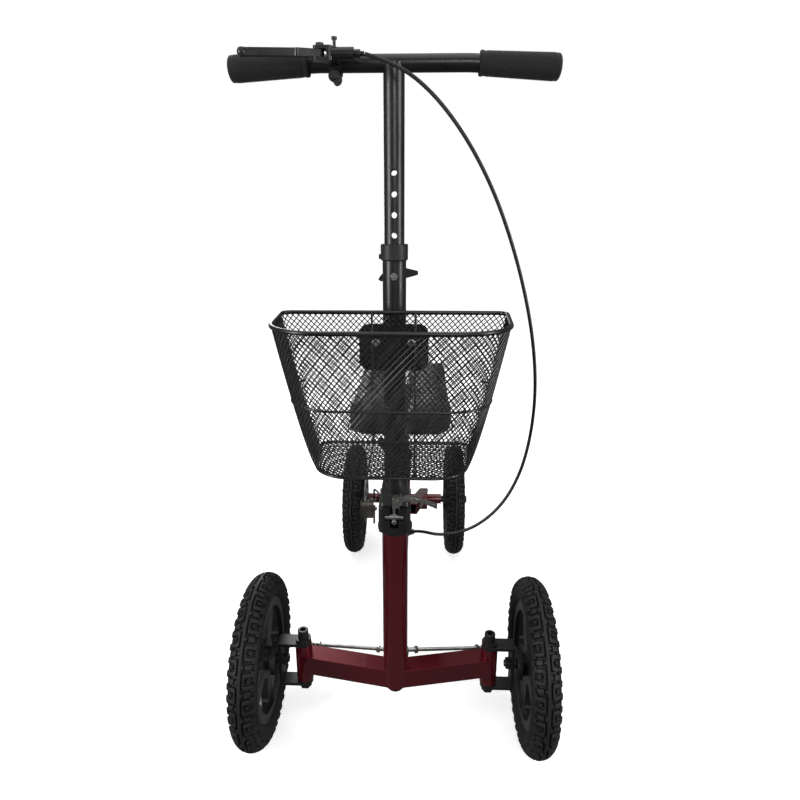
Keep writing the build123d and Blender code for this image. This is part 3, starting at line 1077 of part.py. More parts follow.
def build_cable():
    path = cable_path()
    section = Plane(origin=path @ 0, z_dir=path % 0) * Circle(CABLE_DIAMETER / 2)
    cable = sweep(section, path)
    expected = pi * CABLE_DIAMETER**2 / 4 * path.length
    print("cable length", round(path.length), "volume ratio", round(cable.volume / expected, 4))
    keep("brake_cable", cable)
    frame = [solid for name in ("head_tube", "spine", "rear_stays") for solid in nodes[name]]
    guides = []
    for number, foot in CABLE_GUIDES:
        start, end = Vector(*CABLE_ROUTE[number]), Vector(*CABLE_ROUTE[number + 1])
        middle, along = (start + end) / 2, (end - start).normalized()
        ends = [tuple(middle - along * 4), tuple(middle + along * 4)]
        guide = round_bar(*ends, CABLE_DIAMETER + 5) + round_bar(tuple(middle), foot, 5)
        guide -= round_bar(tuple(middle - along * 9), tuple(middle + along * 9), CABLE_DIAMETER + 2 * GAP)
        for solid in frame:
            guide -= solid
        pieces = guide.solids().sort_by(lambda solid: (solid.center() - middle).length)
        guides.append(pieces[0])
    keep("cable_guides", *guides)


build_wheels()
build_crossbar()
build_kingpins()
build_front_corners()
build_pitman()
build_head()
build_steerer()
build_fold_lower()
build_fold_upper()
build_latch_nodes()
build_column()
build_height_pin()
build_stem()
build_brake_lever()
build_basket()
build_frame()
build_post()
build_pad()
build_rotor()
build_caliper()
build_cable()

os.makedirs("parts", exist_ok=True)
for name, solids in nodes.items():
    placed = [TO_ROW * solid for solid in solids]
    export_step(placed[0] if len(placed) == 1 else Compound(placed), "parts/" + name + ".step")
print(len(nodes), "nodes")
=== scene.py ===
import json
from math import ceil, cos, exp, hypot, pi, radians, sin, sqrt, tan

import bmesh
import bpy
from mathutils import Euler, Matrix, Vector


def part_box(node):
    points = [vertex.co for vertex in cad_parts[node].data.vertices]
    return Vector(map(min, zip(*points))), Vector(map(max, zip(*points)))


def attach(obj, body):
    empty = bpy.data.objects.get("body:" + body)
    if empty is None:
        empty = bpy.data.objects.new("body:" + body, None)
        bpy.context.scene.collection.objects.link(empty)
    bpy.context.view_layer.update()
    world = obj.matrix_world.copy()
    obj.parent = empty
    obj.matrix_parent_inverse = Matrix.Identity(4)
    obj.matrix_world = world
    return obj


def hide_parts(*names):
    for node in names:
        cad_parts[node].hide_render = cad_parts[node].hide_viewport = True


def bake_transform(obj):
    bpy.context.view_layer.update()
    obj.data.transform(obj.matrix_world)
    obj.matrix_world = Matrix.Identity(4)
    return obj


# A knee scooter drawn over its CAD frame. Metres, +Z up, floor at z = 0. The scooter faces
# -Y and its rider's right hand is at -X. Places come from the CAD nodes' boxes.

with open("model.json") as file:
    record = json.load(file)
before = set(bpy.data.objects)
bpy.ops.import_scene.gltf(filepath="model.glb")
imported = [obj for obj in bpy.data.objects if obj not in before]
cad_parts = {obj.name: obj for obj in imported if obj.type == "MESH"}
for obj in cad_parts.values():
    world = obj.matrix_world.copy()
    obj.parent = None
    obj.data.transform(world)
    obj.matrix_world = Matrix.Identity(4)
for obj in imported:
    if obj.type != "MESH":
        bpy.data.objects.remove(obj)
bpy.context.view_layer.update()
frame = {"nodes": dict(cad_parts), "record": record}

MM = 0.001


# ---------------------------------------------------------------- places from the frame
def middle(node):
    """Middle of a CAD node's box."""
    low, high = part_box(node)
    return (low + high) / 2


def size(node):
    """Lengths of a CAD node's box."""
    low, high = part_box(node)
    return high - low


CORNERS = ("front_left", "front_right", "rear_left", "rear_right")
FRONT_AXLE_Y = middle("tyre_front_left").y
WHEEL_RADIUS = size("tyre_front_left").z / 2
TYRE_WIDTH = size("tyre_front_left").x
RIM_RADIUS = size("rim_front_left").z / 2


# ---------------------------------------------------------------- mesh helpers
def new_object(name, vertices, faces):
    """Mesh object from plain lists, with shading smoothed below 35 degrees."""
    mesh = bpy.data.meshes.new(name)
    mesh.from_pydata([tuple(vertex) for vertex in vertices], [], faces)
    mesh.update()
    obj = bpy.data.objects.new(name, mesh)
    bpy.context.scene.collection.objects.link(obj)
    mesh.shade_smooth()
    mesh.set_sharp_from_angle(angle=radians(35))
    return obj


def finish_piece(obj, body, material):
    """Give a new piece its material and its body."""
    obj.data.materials.clear()
    obj.data.materials.append(material)
    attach(obj, body)
    return obj


def grid_faces(rows, columns, close_rows=False, close_columns=False):
    """Quads over a grid of rows x columns points, closed round either way if wanted."""
    faces = []
    for row in range(rows if close_rows else rows - 1):
        for column in range(columns if close_columns else columns - 1):
            below, right = (row + 1) % rows, (column + 1) % columns
            faces.append((
                row * columns + column,
                row * columns + right,
                below * columns + right,
                below * columns + column,
            ))
    return faces


def frames_along(points, closed=False):
    """Side and up directions carried along a line of points without twist."""
    count = len(points)
    tangents = []
    for i in range(count):
        if closed:
            ahead, behind = points[(i + 1) % count], points[i - 1]
        else:
            ahead, behind = points[min(i + 1, count - 1)], points[max(i - 1, 0)]
        tangents.append((ahead - behind).normalized())
    reference = Vector((0, 0, 1)) if abs(tangents[0].z) < 0.9 else Vector((0, 1, 0))
    side = tangents[0].cross(reference).normalized()
    result = []
    for tangent in tangents:
        side = (side - tangent * side.dot(tangent)).normalized()
        result.append((side, tangent.cross(side)))
    return result


def tube_parts(points, radius, sides=12, closed=False):
    """Vertices and faces of a round tube along points; radius is a number or a function of i."""
    points = [Vector(point) for point in points]
    vertices = []
    for i, (point, (side, up)) in enumerate(zip(points, frames_along(points, closed))):
        reach = radius(i) if callable(radius) else radius
        for k in range(sides):
            turn = 2 * pi * k / sides
            vertices.append(point + side * (reach * cos(turn)) + up * (reach * sin(turn)))
    faces = grid_faces(len(points), sides, close_rows=closed, close_columns=True)
    if not closed:
        faces.append(tuple(reversed(range(sides))))
        last = (len(points) - 1) * sides
        faces.append(tuple(range(last, last + sides)))
    return vertices, faces


def tube(name, points, radius, sides=12, closed=False):
    return new_object(name, *tube_parts(points, radius, sides, closed))


def join_parts(name, parts):
    """One object from several (vertices, faces) pairs."""
    vertices, faces = [], []
    for part_vertices, part_faces in parts:
        offset = len(vertices)
        vertices += part_vertices
        faces += [tuple(index + offset for index in face) for face in part_faces]
    return new_object(name, vertices, faces)


def lathe_parts(profile, place, direction, sides=48):
    """Turned shape: profile is (distance along, radius) pairs, from place along direction."""
    direction = Vector(direction).normalized()
    helper = Vector((0, 0, 1)) if abs(direction.z) < 0.9 else Vector((0, 1, 0))
    side = direction.cross(helper).normalized()
    up = direction.cross(side)
    place = Vector(place)
    vertices = []
    for along, reach in profile:
        for k in range(sides):
            turn = 2 * pi * k / sides
            ring = side * (reach * cos(turn)) + up * (reach * sin(turn))
            vertices.append(place + direction * along + ring)
    faces = grid_faces(len(profile), sides, close_columns=True)
    faces.append(tuple(range(sides)))
    last = (len(profile) - 1) * sides
    faces.append(tuple(reversed(range(last, last + sides))))
    return vertices, faces


# ---------------------------------------------------------------- material helpers
class Recipe:
    """A node material built up from a Principled shader and procedural textures."""

    def __init__(self, name):
        self.material = bpy.data.materials.new(name)
        self.material.use_nodes = True
        self.tree = self.material.node_tree
        self.shader = self.tree.nodes["Principled BSDF"]
        self.place = self.tree.nodes.new("ShaderNodeTexCoord").outputs["Object"]

    def set(self, **values):
        """Constant values on the shader's own sockets, spaces written as underscores."""
        for name, value in values.items():
            self.shader.inputs[name.replace("_", " ")].default_value = value
        return self

    def node(self, kind, **settings):
        node = self.tree.nodes.new("ShaderNode" + kind)
        for name, value in settings.items():
            setattr(node, name, value)
        return node

    def link(self, start, end):
        self.tree.links.new(start, end)

    def stretched(self, scale):
        """Texture space stretched by a factor along each axis."""
        mapping = self.node("Mapping")
        mapping.inputs["Scale"].default_value = scale
        self.link(self.place, mapping.inputs["Vector"])
        return mapping.outputs["Vector"]

    def noise(self, scale, detail=4.0, rough=0.6, space=None):
        node = self.node("TexNoise")
        node.inputs["Scale"].default_value = scale
        node.inputs["Detail"].default_value = detail
        node.inputs["Roughness"].default_value = rough
        self.link(space or self.place, node.inputs["Vector"])
        return node.outputs["Fac"]

    def cells(self, scale, feature="F1", output="Distance", space=None):
        node = self.node("TexVoronoi", feature=feature)
        node.inputs["Scale"].default_value = scale
        self.link(space or self.place, node.inputs["Vector"])
        return node.outputs[output]

    def ramp(self, value, low, high, start=0.0, end=1.0):
        """value mapped from start..end onto low..high."""
        node = self.node("MapRange")
        self.link(value, node.inputs["Value"])
        node.inputs["From Min"].default_value = start
        node.inputs["From Max"].default_value = end
        node.inputs["To Min"].default_value = low
        node.inputs["To Max"].default_value = high
        return node.outputs["Result"]

    def colours(self, value, *stops):
        """Colour ramp through (place, colour) stops."""
        node = self.node("ValToRGB")
        elements = node.color_ramp.elements
        while len(elements) < len(stops):
            elements.new(0.5)
        for element, (place, colour) in zip(elements, stops):
            element.position = place
            element.color = (*colour, 1)
        self.link(value, node.inputs["Fac"])
        return node.outputs["Color"]

    def colour(self, value, *stops):
        self.link(self.colours(value, *stops), self.shader.inputs["Base Color"])
        return self

    def roughness(self, value, low, high, start=0.3, end=0.7):
        self.link(self.ramp(value, low, high, start, end), self.shader.inputs["Roughness"])
        return self

    def bump(self, *layers, edge=0.0):
        """Bump layers, each (height, strength, distance), over edges rounded by a radius."""
        normal = None
        if edge:
            rounding = self.node("Bevel", samples=4)
            rounding.inputs["Radius"].default_value = edge
            normal = rounding.outputs["Normal"]
        for height, strength, distance in layers:
            node = self.node("Bump")
            node.inputs["Strength"].default_value = strength
            node.inputs["Distance"].default_value = distance
            self.link(height, node.inputs["Height"])
            if normal is not None:
                self.link(normal, node.inputs["Normal"])
            normal = node.outputs["Normal"]
        self.link(normal, self.shader.inputs["Normal"])
        return self


# ---------------------------------------------------------------- materials
def frame_red():
    """Deep burgundy metallic paint under clear lacquer."""
    recipe = Recipe("frame_red").set(Metallic=0.62, Coat_Weight=1.0, Coat_Roughness=0.05)
    flakes = recipe.cells(1900, output="Color")
    spread = recipe.noise(9)
    recipe.colour(
        flakes, (0.0, (0.075, 0.0015, 0.005)), (0.55, (0.13, 0.003, 0.009)), (1.0, (0.22, 0.008, 0.02))
    )
    recipe.roughness(spread, 0.26, 0.38)
    peel = (recipe.noise(420, 2), 0.04, 0.0004)
    return recipe.bump(peel, (recipe.noise(16, 2), 0.05, 0.002), edge=0.0012).material


def satin_black(name, base=0.006, gloss=0.36, grain=900):
    """Satin black powder coat with a fine orange peel."""
    recipe = Recipe(name).set(Coat_Weight=0.25, Coat_Roughness=0.25)
    mottle = recipe.noise(38)
    recipe.colour(mottle, (0.3, (base * 0.75,) * 3), (0.7, (base * 1.35, base * 1.35, base * 1.42)))
    recipe.roughness(mottle, gloss - 0.05, gloss + 0.08)
    peel = (recipe.noise(grain, 3), 0.16, 0.0003)
    return recipe.bump(peel, (recipe.noise(60, 2), 0.05, 0.001), edge=0.0008).material


def bare_metal(name, light, dark, smooth, rough, grain=(1, 1, 1), specks=0.25):
    """Bare or plated metal with faint streaks and specks of dullness."""
    recipe = Recipe(name).set(Metallic=1.0)
    streaks = recipe.noise(140, 6, 0.7, recipe.stretched(grain))
    stains = recipe.noise(55, 3)
    recipe.colour(stains, (0.35, dark), (0.65, light))
    recipe.roughness(streaks, smooth, rough)
    return recipe.bump((streaks, specks, 0.0002), edge=0.0006).material


def tyre_rubber():
    """Charcoal rubber with a dry bloom and a fine moulded grain, with painted shade in the tread's grooves
    and a painted highlight on the knob tops.
    """
    recipe = Recipe("tyre_rubber").set(Specular_IOR_Level=0.3)
    bloom = recipe.noise(24, 6, 0.65)
    # Painted shade and highlight: the darker rubber colour goes in the grooves and a lighter colour on the
    # knob tops, picked by tread height; the sidewalls take half of each
    dark = recipe.colours(bloom, (0.3, (0.0035, 0.0035, 0.004)), (0.72, (0.007, 0.007, 0.0078)))
    painted_highlight = recipe.colours(bloom, (0.3, (0.011, 0.011, 0.012)), (0.72, (0.021, 0.021, 0.023)))
    relief_shading = recipe.node("Attribute", attribute_name="relief_shading")
    mix = recipe.node("Mix", data_type="RGBA")
    recipe.link(relief_shading.outputs["Fac"], mix.inputs["Factor"])
    recipe.link(dark, mix.inputs[6])
    recipe.link(painted_highlight, mix.inputs[7])
    recipe.link(mix.outputs[2], recipe.shader.inputs["Base Color"])
    recipe.roughness(bloom, 0.48, 0.68)
    return recipe.bump((recipe.noise(1100, 3), 0.3, 0.0003), (recipe.noise(170, 3), 0.12, 0.0006)).material


def rim_grey():
    """Dark graphite lacquer, a little metallic."""
    recipe = Recipe("rim_grey").set(Metallic=0.55, Coat_Weight=0.35, Coat_Roughness=0.2)
    spread = recipe.noise(30)
    recipe.colour(spread, (0.3, (0.016, 0.0165, 0.019)), (0.7, (0.028, 0.0285, 0.032)))
    recipe.roughness(spread, 0.34, 0.48)
    return recipe.bump((recipe.noise(800, 3), 0.12, 0.0003), edge=0.001).material


def grip_rubber():
    """Soft black rubber with fine pebbling."""
    recipe = Recipe("grip_rubber").set(Specular_IOR_Level=0.35, Sheen_Weight=0.15, Sheen_Roughness=0.5)
    rub = recipe.noise(60, 5)
    recipe.colour(rub, (0.3, (0.004, 0.004, 0.0045)), (0.75, (0.010, 0.010, 0.011)))
    recipe.roughness(rub, 0.6, 0.78)
    return recipe.bump((recipe.cells(1500), 0.45, 0.0004), (recipe.noise(300, 3), 0.15, 0.0005)).material


def pad_vinyl():
    """Black vinyl with a leather grain and a soft sheen on its crests."""
    recipe = Recipe("pad_vinyl").set(Sheen_Weight=0.1, Sheen_Roughness=0.45)
    recipe.set(Coat_Weight=0.1, Coat_Roughness=0.35)
    creases = recipe.cells(520, "DISTANCE_TO_EDGE")
    warp = recipe.noise(26, 5)
    recipe.colour(warp, (0.3, (0.008, 0.008, 0.009)), (0.72, (0.017, 0.017, 0.019)))
    recipe.roughness(warp, 0.38, 0.52)
    grain = recipe.ramp(creases, 0.0, 1.0, 0.0, 0.16)
    pores = (recipe.noise(900, 3), 0.2, 0.0003)
    return recipe.bump((grain, 0.35, 0.0004), pores, (recipe.noise(35, 3), 0.12, 0.002)).material


def black_plastic():
    """Moulded black plastic with a spark-eroded grain."""
    recipe = Recipe("black_plastic").set(Specular_IOR_Level=0.45)
    spread = recipe.noise(45)
    recipe.colour(spread, (0.3, (0.012, 0.012, 0.0125)), (0.7, (0.021, 0.021, 0.022)))
    recipe.roughness(spread, 0.42, 0.56)
    return recipe.bump((recipe.noise(1400, 4), 0.35, 0.0003)).material


def disc_steel():
    """Turned stainless steel: fine rings round the rear axle."""
    recipe = Recipe("disc_steel").set(Metallic=1.0)
    centre = middle("brake_disc")
    shift = recipe.node("Mapping")
    shift.inputs["Location"].default_value = (0, -centre.y, -centre.z)
    recipe.link(recipe.place, shift.inputs["Vector"])
    wave = recipe.node("TexWave", wave_type="RINGS", rings_direction="X")
    wave.inputs["Scale"].default_value = 320
    wave.inputs["Distortion"].default_value = 1.5
    recipe.link(shift.outputs["Vector"], wave.inputs["Vector"])
    recipe.colour(recipe.noise(60), (0.3, (0.42, 0.42, 0.43)), (0.7, (0.6, 0.6, 0.6)))
    recipe.roughness(wave.outputs["Fac"], 0.2, 0.38, 0.0, 1.0)
    return recipe.bump((wave.outputs["Fac"], 0.2, 0.0001)).material


MATERIALS = {
    "frame_red": frame_red(),
    "black_paint": satin_black("black_paint"),
    "black_hardware": satin_black("black_hardware", 0.009, 0.3, 1300),
    "basket_wire": satin_black("basket_wire", 0.005, 0.33, 1600),
    "cable_black": satin_black("cable_black", 0.004, 0.4, 2200),
    "zinc_steel": bare_metal("zinc_steel", (0.52, 0.52, 0.5), (0.33, 0.33, 0.32), 0.2, 0.4, (1, 1, 6)),
    "polished_alloy": bare_metal(
        "polished_alloy", (0.62, 0.61, 0.59), (0.42, 0.41, 0.4), 0.1, 0.24, (4, 1, 1), 0.12
    ),
    "cast_alloy": bare_metal(
        "cast_alloy", (0.36, 0.33, 0.28), (0.22, 0.21, 0.19), 0.36, 0.55, (1, 1, 1), 0.6
    ),
    "tyre_rubber": tyre_rubber(),
    "rim_grey": rim_grey(),
    "grip_rubber": grip_rubber(),
    "pad_vinyl": pad_vinyl(),
    "black_plastic": black_plastic(),
    "disc_steel": disc_steel(),
}


def paint_frame_nodes():
    """The carried-over CAD nodes take the finish of their slot."""
    for part in frame["record"]["subparts"]:
        material = MATERIALS[part["material_slot"]]
        if part["node"] == "brake_disc":
            material = MATERIALS["disc_steel"]
        obj = frame["nodes"][part["node"]]
        obj.data.materials.clear()
        obj.data.materials.append(material)


# ---------------------------------------------------------------- tyres
TREAD_CELLS = 22
CELL_STEPS = 44
CELL_PITCH = 2 * pi * WHEEL_RADIUS / TREAD_CELLS
TREAD_DEPTH = 4.6 * MM
TREAD_ANGLE = 70
CASING_RADIUS = TYRE_WIDTH / 2 - TREAD_DEPTH
SIDEWALL_RADIUS = CASING_RADIUS + 2.6 * MM
MAJOR_RADIUS = WHEEL_RADIUS - TYRE_WIDTH / 2
KNOB_EDGE = 0.7 * MM
# Degrees by which each wheel's tread is turned against the wheel before it
TYRE_TURN = 31
# Valve: how far its root lies inside the rim, and (distance along, radius) of its outline
VALVE_DEPTH = 16 * MM
VALVE_STEM = [(0, 0.1 * MM), (0, 5 * MM), (2 * MM, 5 * MM), (3 * MM, 3.4 * MM), (9 * MM, 3.1 * MM)]
VALVE_CAP = [(9 * MM, 3.6 * MM), (15 * MM, 3.6 * MM), (15.8 * MM, 2.8 * MM), (15.8 * MM, 0.1 * MM)]
VALVE_PROFILE = VALVE_STEM + VALVE_CAP
CENTRE_BAND = 3.0 * MM
# Knobs of one side of a cell: place along it, place across it, half lengths, corner and turn
TOOTH = (0.5, 4.0 * MM, 3.1 * MM, 3.1 * MM, 0.6 * MM, 45)
FILLER = (0.5, 14.6 * MM, 4.4 * MM, 5.6 * MM, 1.4 * MM, 0)
HORSESHOE = (0.0, 13.6 * MM, 13.2 * MM, 8.2 * MM, 4.6 * MM, 0)
HORSESHOE_HOLLOW = (0.0, 17.2 * MM, 6.4 * MM, 8.6 * MM, 3.0 * MM, 0)
ISLAND = (0.0, 15.0 * MM, 2.6 * MM, 2.6 * MM, 0.6 * MM, 45)
LUGS = (
    (0.25, 25.4 * MM, 5.8 * MM, 4.4 * MM, 1.4 * MM, 0),
    (0.75, 26.2 * MM, 5.8 * MM, 5.4 * MM, 1.4 * MM, 0),
)


def step_up(value, edge):
    """Smooth step from 0 to 1 as value passes 0, over twice the edge."""
    share = min(max((value + edge) / (2 * edge), 0), 1)
    return share * share * (3 - 2 * share)


def rounded_box_distance(x, y, half_x, half_y, corner):
    """Distance to the outline of a rounded rectangle, negative inside it."""
    dx, dy = abs(x) - half_x + corner, abs(y) - half_y + corner
    return hypot(max(dx, 0), max(dy, 0)) + min(max(dx, dy), 0) - corner


def knob_distance(along, across, knob):
    """Distance from a place in the cell to a knob's outline, negative inside it."""
    place, offset, half_along, half_across, corner, angle = knob
    u = ((along - place + 0.5) % 1 - 0.5) * CELL_PITCH
    v = across - offset
    turn = radians(angle)
    x, y = u * cos(turn) + v * sin(turn), v * cos(turn) - u * sin(turn)
    return rounded_box_distance(x, y, half_along, half_across, corner)


def tread_height(along, across):
    """Share of the tread depth at a place: along the cell from 0 to 1, across in metres."""
    if across < 0:
        along += 0.5
    across = abs(across)
    distances = [across - CENTRE_BAND]
    distances += [knob_distance(along, across, knob) for knob in (TOOTH, FILLER, ISLAND, *LUGS)]
    hollow = knob_distance(along, across, HORSESHOE_HOLLOW)
    distances.append(max(knob_distance(along, across, HORSESHOE), -hollow))
    return step_up(-min(distances), KNOB_EDGE)


def tyre_section():
    """Section as (angle from the crown, radius from the section's centre), bead to bead."""
    outer = []
    bead_angle = 141
    for degree in range(-bead_angle, -70, 4):
        outer.append(degree)
    fine = 68
    across_steps = 92
    for step in range(across_steps + 1):
        outer.append(-fine + 2 * fine * step / across_steps)
    for degree in range(73, bead_angle + 1, 4):
        outer.append(degree)
    return outer


def sidewall_radius(angle):
    """Radius of the plain casing at an angle from the crown, with its moulded rings."""
    share = min(max((abs(angle) - 66) / 16, 0), 1)
    radius = CASING_RADIUS + (SIDEWALL_RADIUS - CASING_RADIUS) * share
    for ring_angle, ring_height in ((77, 0.5 * MM), (125, 0.7 * MM)):
        radius += ring_height * exp(-(((abs(angle) - ring_angle) / 3.0) ** 2))
    return radius


def build_tyre_mesh():
    angles = tyre_section()
    columns = len(angles)
    rows = TREAD_CELLS * CELL_STEPS
    cell = []
    for step in range(CELL_STEPS):
        heights = []
        for angle in angles:
            across = radians(angle) * TYRE_WIDTH / 2
            is_tread = abs(angle) < TREAD_ANGLE
            heights.append(tread_height(step / CELL_STEPS, across) if is_tread else 0.0)
        cell.append(heights)
    vertices = []
    relief_shading = []
    for row in range(rows):
        turn = 2 * pi * row / rows
        for angle, height in zip(angles, cell[row % CELL_STEPS]):
            casing = sidewall_radius(angle)
            radius = casing + (TYRE_WIDTH / 2 - casing) * height
            reach = MAJOR_RADIUS + radius * cos(radians(angle))
            x = radius * sin(radians(angle))
            vertices.append((x, reach * sin(turn), reach * cos(turn)))
            # Tread height share, which the tyre material uses to paint shade into the grooves and a
            # highlight onto the knob tops; the sidewalls take the middle
            relief_shading.append(height if abs(angle) < TREAD_ANGLE else 0.5)
    faces = grid_faces(rows, columns, close_rows=True, close_columns=True)
    tyre = new_object("tyre_mesh", vertices, faces)
    mesh = tyre.data
    mesh.attributes.new("relief_shading", "FLOAT", "POINT").data.foreach_set("value", relief_shading)
    bpy.data.objects.remove(tyre)
    return mesh


def build_tyres():
    """The same tyre four times, each on its wheel, with its valve in the rim's well."""
    mesh = build_tyre_mesh()
    for number, corner in enumerate(CORNERS):
        centre = middle("tyre_" + corner)
        turn = Matrix.Rotation(radians(TYRE_TURN * number), 4, "X")
        tyre = bpy.data.objects.new("tread_" + corner, mesh)
        bpy.context.scene.collection.objects.link(tyre)
        tyre.matrix_world = Matrix.Translation(centre) @ turn
        finish_piece(tyre, "wheel_" + corner, MATERIALS["tyre_rubber"])
        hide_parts("tyre_" + corner)
        root = centre + Vector((0, 0, RIM_RADIUS - VALVE_DEPTH))
        valve = join_parts("valve_" + corner, [lathe_parts(VALVE_PROFILE, root, (0, 0, -1), 20)])
        finish_piece(valve, "wheel_" + corner, MATERIALS["black_plastic"])


# ---------------------------------------------------------------- basket
WIRE = 0.78 * MM
MESH_PITCH = 8.2 * MM
LEVEL_STEP = 4.2 * MM
RIM_WIRE = 3.0 * MM
BAND_WIRE = 1.6 * MM
BAND_Z = 0.700
FLOOR_WIRE = 2.4 * MM
FLOOR_INSET = 1.2 * MM
# The two stiffeners down the back and under the floor
STIFFENER_X = 31 * MM
STIFFENER_WIRE = 1.7 * MM
STIFFENER_BEND = 12 * MM
BASKET_LOW, BASKET_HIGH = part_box("basket")
BASKET_BACK = BASKET_HIGH.y - 0.5 * MM
BASKET_TOP = BASKET_HIGH.z - RIM_WIRE
FLOOR_Z = BASKET_LOW.z + 3 * MM
# Plan sizes at the floor and at the rim: back width, front width, front, front corner
BASKET_FLOOR = (222 * MM, 204 * MM, BASKET_LOW.y + 34 * MM, 50 * MM)
BASKET_RIM = (BASKET_HIGH.x - BASKET_LOW.x - 2 * RIM_WIRE, 294 * MM, BASKET_LOW.y + RIM_WIRE, 72 * MM)
BACK_CORNER = 14 * MM
BASKET_FLARE = 0.8


def rounded_outline(corners, count):
    """Points evenly spaced along a polygon whose (x, y, radius) corners are rounded."""
    line = []
    for number, (x, y, radius) in enumerate(corners):
        corner = Vector((x, y))
        before = (Vector(corners[number - 1][:2]) - corner).normalized()
        after = (Vector(corners[(number + 1) % len(corners)][:2]) - corner).normalized()
        half = before.angle(after) / 2
        centre = corner + (before + after).normalized() * (radius / sin(half))
        first = corner + before * (radius / tan(half)) - centre
        last = corner + after * (radius / tan(half)) - centre
        sweep = pi - 2 * half
        for step in range(13):
            share = step / 12
            bend = first * sin((1 - share) * sweep) + last * sin(share * sweep)
            line.append(centre + bend / sin(sweep))
    line.append(line[0])
    lengths = [0.0]
    for here, there in zip(line, line[1:]):
        lengths.append(lengths[-1] + (there - here).length)
    points = []
    index = 0
    for number in range(count):
        target = lengths[-1] * number / count
        while lengths[index + 1] < target:
            index += 1
        span = lengths[index + 1] - lengths[index]
        share = (target - lengths[index]) / span if span else 0
        points.append(line[index].lerp(line[index + 1], share))
    return points


def basket_ring(share, count, inset=0.0):
    """Ring of points round the basket at a share of its height."""
    flare = share**BASKET_FLARE
    back_width, front_width, front, corner = (a + (b - a) * flare for a, b in zip(BASKET_FLOOR, BASKET_RIM))
    back_x, front_x = back_width / 2 - inset, front_width / 2 - inset
    corners = (
        (back_x, BASKET_BACK - inset, BACK_CORNER),
        (-back_x, BASKET_BACK - inset, BACK_CORNER),
        (-front_x, front + inset, corner),
        (front_x, front + inset, corner),
    )
    z = FLOOR_Z + (BASKET_TOP - FLOOR_Z) * share
    return [Vector((point.x, point.y, z)) for point in rounded_outline(corners, count)]


def basket_walls():
    """Expanded-wire walls: two families of strands that cross in diamonds."""
    rim = basket_ring(1, 200)
    perimeter = sum((here - there).length for here, there in zip(rim, rim[1:] + rim[:1]))
    columns = 2 * round(perimeter / MESH_PITCH / 2)
    levels = round((BASKET_TOP - FLOOR_Z) / LEVEL_STEP)
    rings = [basket_ring(level / levels, 2 * columns) for level in range(levels + 1)]
    parts = []
    for direction in (-1, 1):
        for column in range(columns):
            points = []
            for level in range(levels + 1):
                index = (2 * column + direction * level) % (2 * columns)
                points.append(rings[level][index])
            offset = direction * WIRE * 0.55
            centre = Vector((0, (BASKET_BACK + BASKET_RIM[2]) / 2, 0))
            moved = []
            for point in points:
                outward = Vector((point.x - centre.x, point.y - centre.y, 0)).normalized()
                moved.append(point + outward * (offset - WIRE))
            parts.append(tube_parts(moved, WIRE, 5))
    return parts


def basket_floor():
    """Diamond net of the floor, clipped to the floor ring's outline."""
    outline = basket_ring(0, 160, 1.0 * MM)
    z = outline[0].z
    low_y, high_y = min(p.y for p in outline), max(p.y for p in outline)
    parts = []
    reach = BASKET_FLOOR[0]
    step = MESH_PITCH
    for direction in (-1, 1):
        count = ceil(2 * reach / step)
        for number in range(-count, count):
            start = Vector((number * step, low_y, z + direction * WIRE * 0.5))
            along = Vector((direction * 0.72, 0.69, 0)).normalized()
            inside = []
            for advance in range(0, 1 + ceil((high_y - low_y) / 0.69 / (2 * MM))):
                point = start + along * (advance * 2 * MM)
                if inside_outline(point, outline):
                    inside.append(point)
            if len(inside) > 2:
                parts.append(tube_parts([inside[0], inside[-1]], WIRE, 5))
    return parts


def inside_outline(point, outline):
    """Whether a point lies inside a closed outline in plan."""
    result = False
    for here, there in zip(outline, outline[1:] + outline[:1]):
        if (here.y > point.y) != (there.y > point.y):
            cross = here.x + (point.y - here.y) / (there.y - here.y) * (there.x - here.x)
            if point.x < cross:
                result = not result
    return result


def build_basket():
    net = join_parts("basket_net", basket_walls() + basket_floor())
    finish_piece(net, "column", MATERIALS["basket_wire"])
    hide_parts("basket")
    rim_line = basket_ring(1, 200)
    parts = [tube_parts(rim_line, RIM_WIRE, 12, closed=True)]
    band_share = (BAND_Z - FLOOR_Z) / (BASKET_TOP - FLOOR_Z)
    parts.append(tube_parts(basket_ring(0.0, 200, FLOOR_INSET), FLOOR_WIRE, 10, closed=True))
    band = [point for point in basket_ring(band_share, 400) if point.y < BASKET_BACK - 1 * MM]
    back_gap = max(range(len(band)), key=lambda i: (band[i] - band[i - 1]).length)
    parts.append(tube_parts(band[back_gap:] + band[:back_gap], BAND_WIRE, 10))
    for side in (-1, 1):
        x = side * STIFFENER_X
        top = Vector((x, BASKET_BACK - 3.4 * MM, BASKET_TOP))
        foot = Vector((x, BASKET_BACK - 3.4 * MM, BASKET_LOW.z + 4 * MM))
        toe = Vector((x, BASKET_FLOOR[2] + 8 * MM, BASKET_LOW.z + 4.6 * MM))
        bend = [top]
        for step in range(7):
            turn = radians(90 * step / 6)
            y = foot.y - STIFFENER_BEND + STIFFENER_BEND * cos(turn)
            z = foot.z + STIFFENER_BEND - STIFFENER_BEND * sin(turn)
            bend.append(Vector((x, y, z)))
        bend.append(toe)
        parts.append(tube_parts(bend, STIFFENER_WIRE, 10))
    wires = join_parts("basket_frame_wires", parts)
    finish_piece(wires, "column", MATERIALS["basket_wire"])


# ---------------------------------------------------------------- grips
RIB_PITCH = 3.1 * MM
RIB_HEIGHT = 0.75 * MM
COLLAR_RISE = 0.9 * MM
GRIP_DOME = 6 * MM


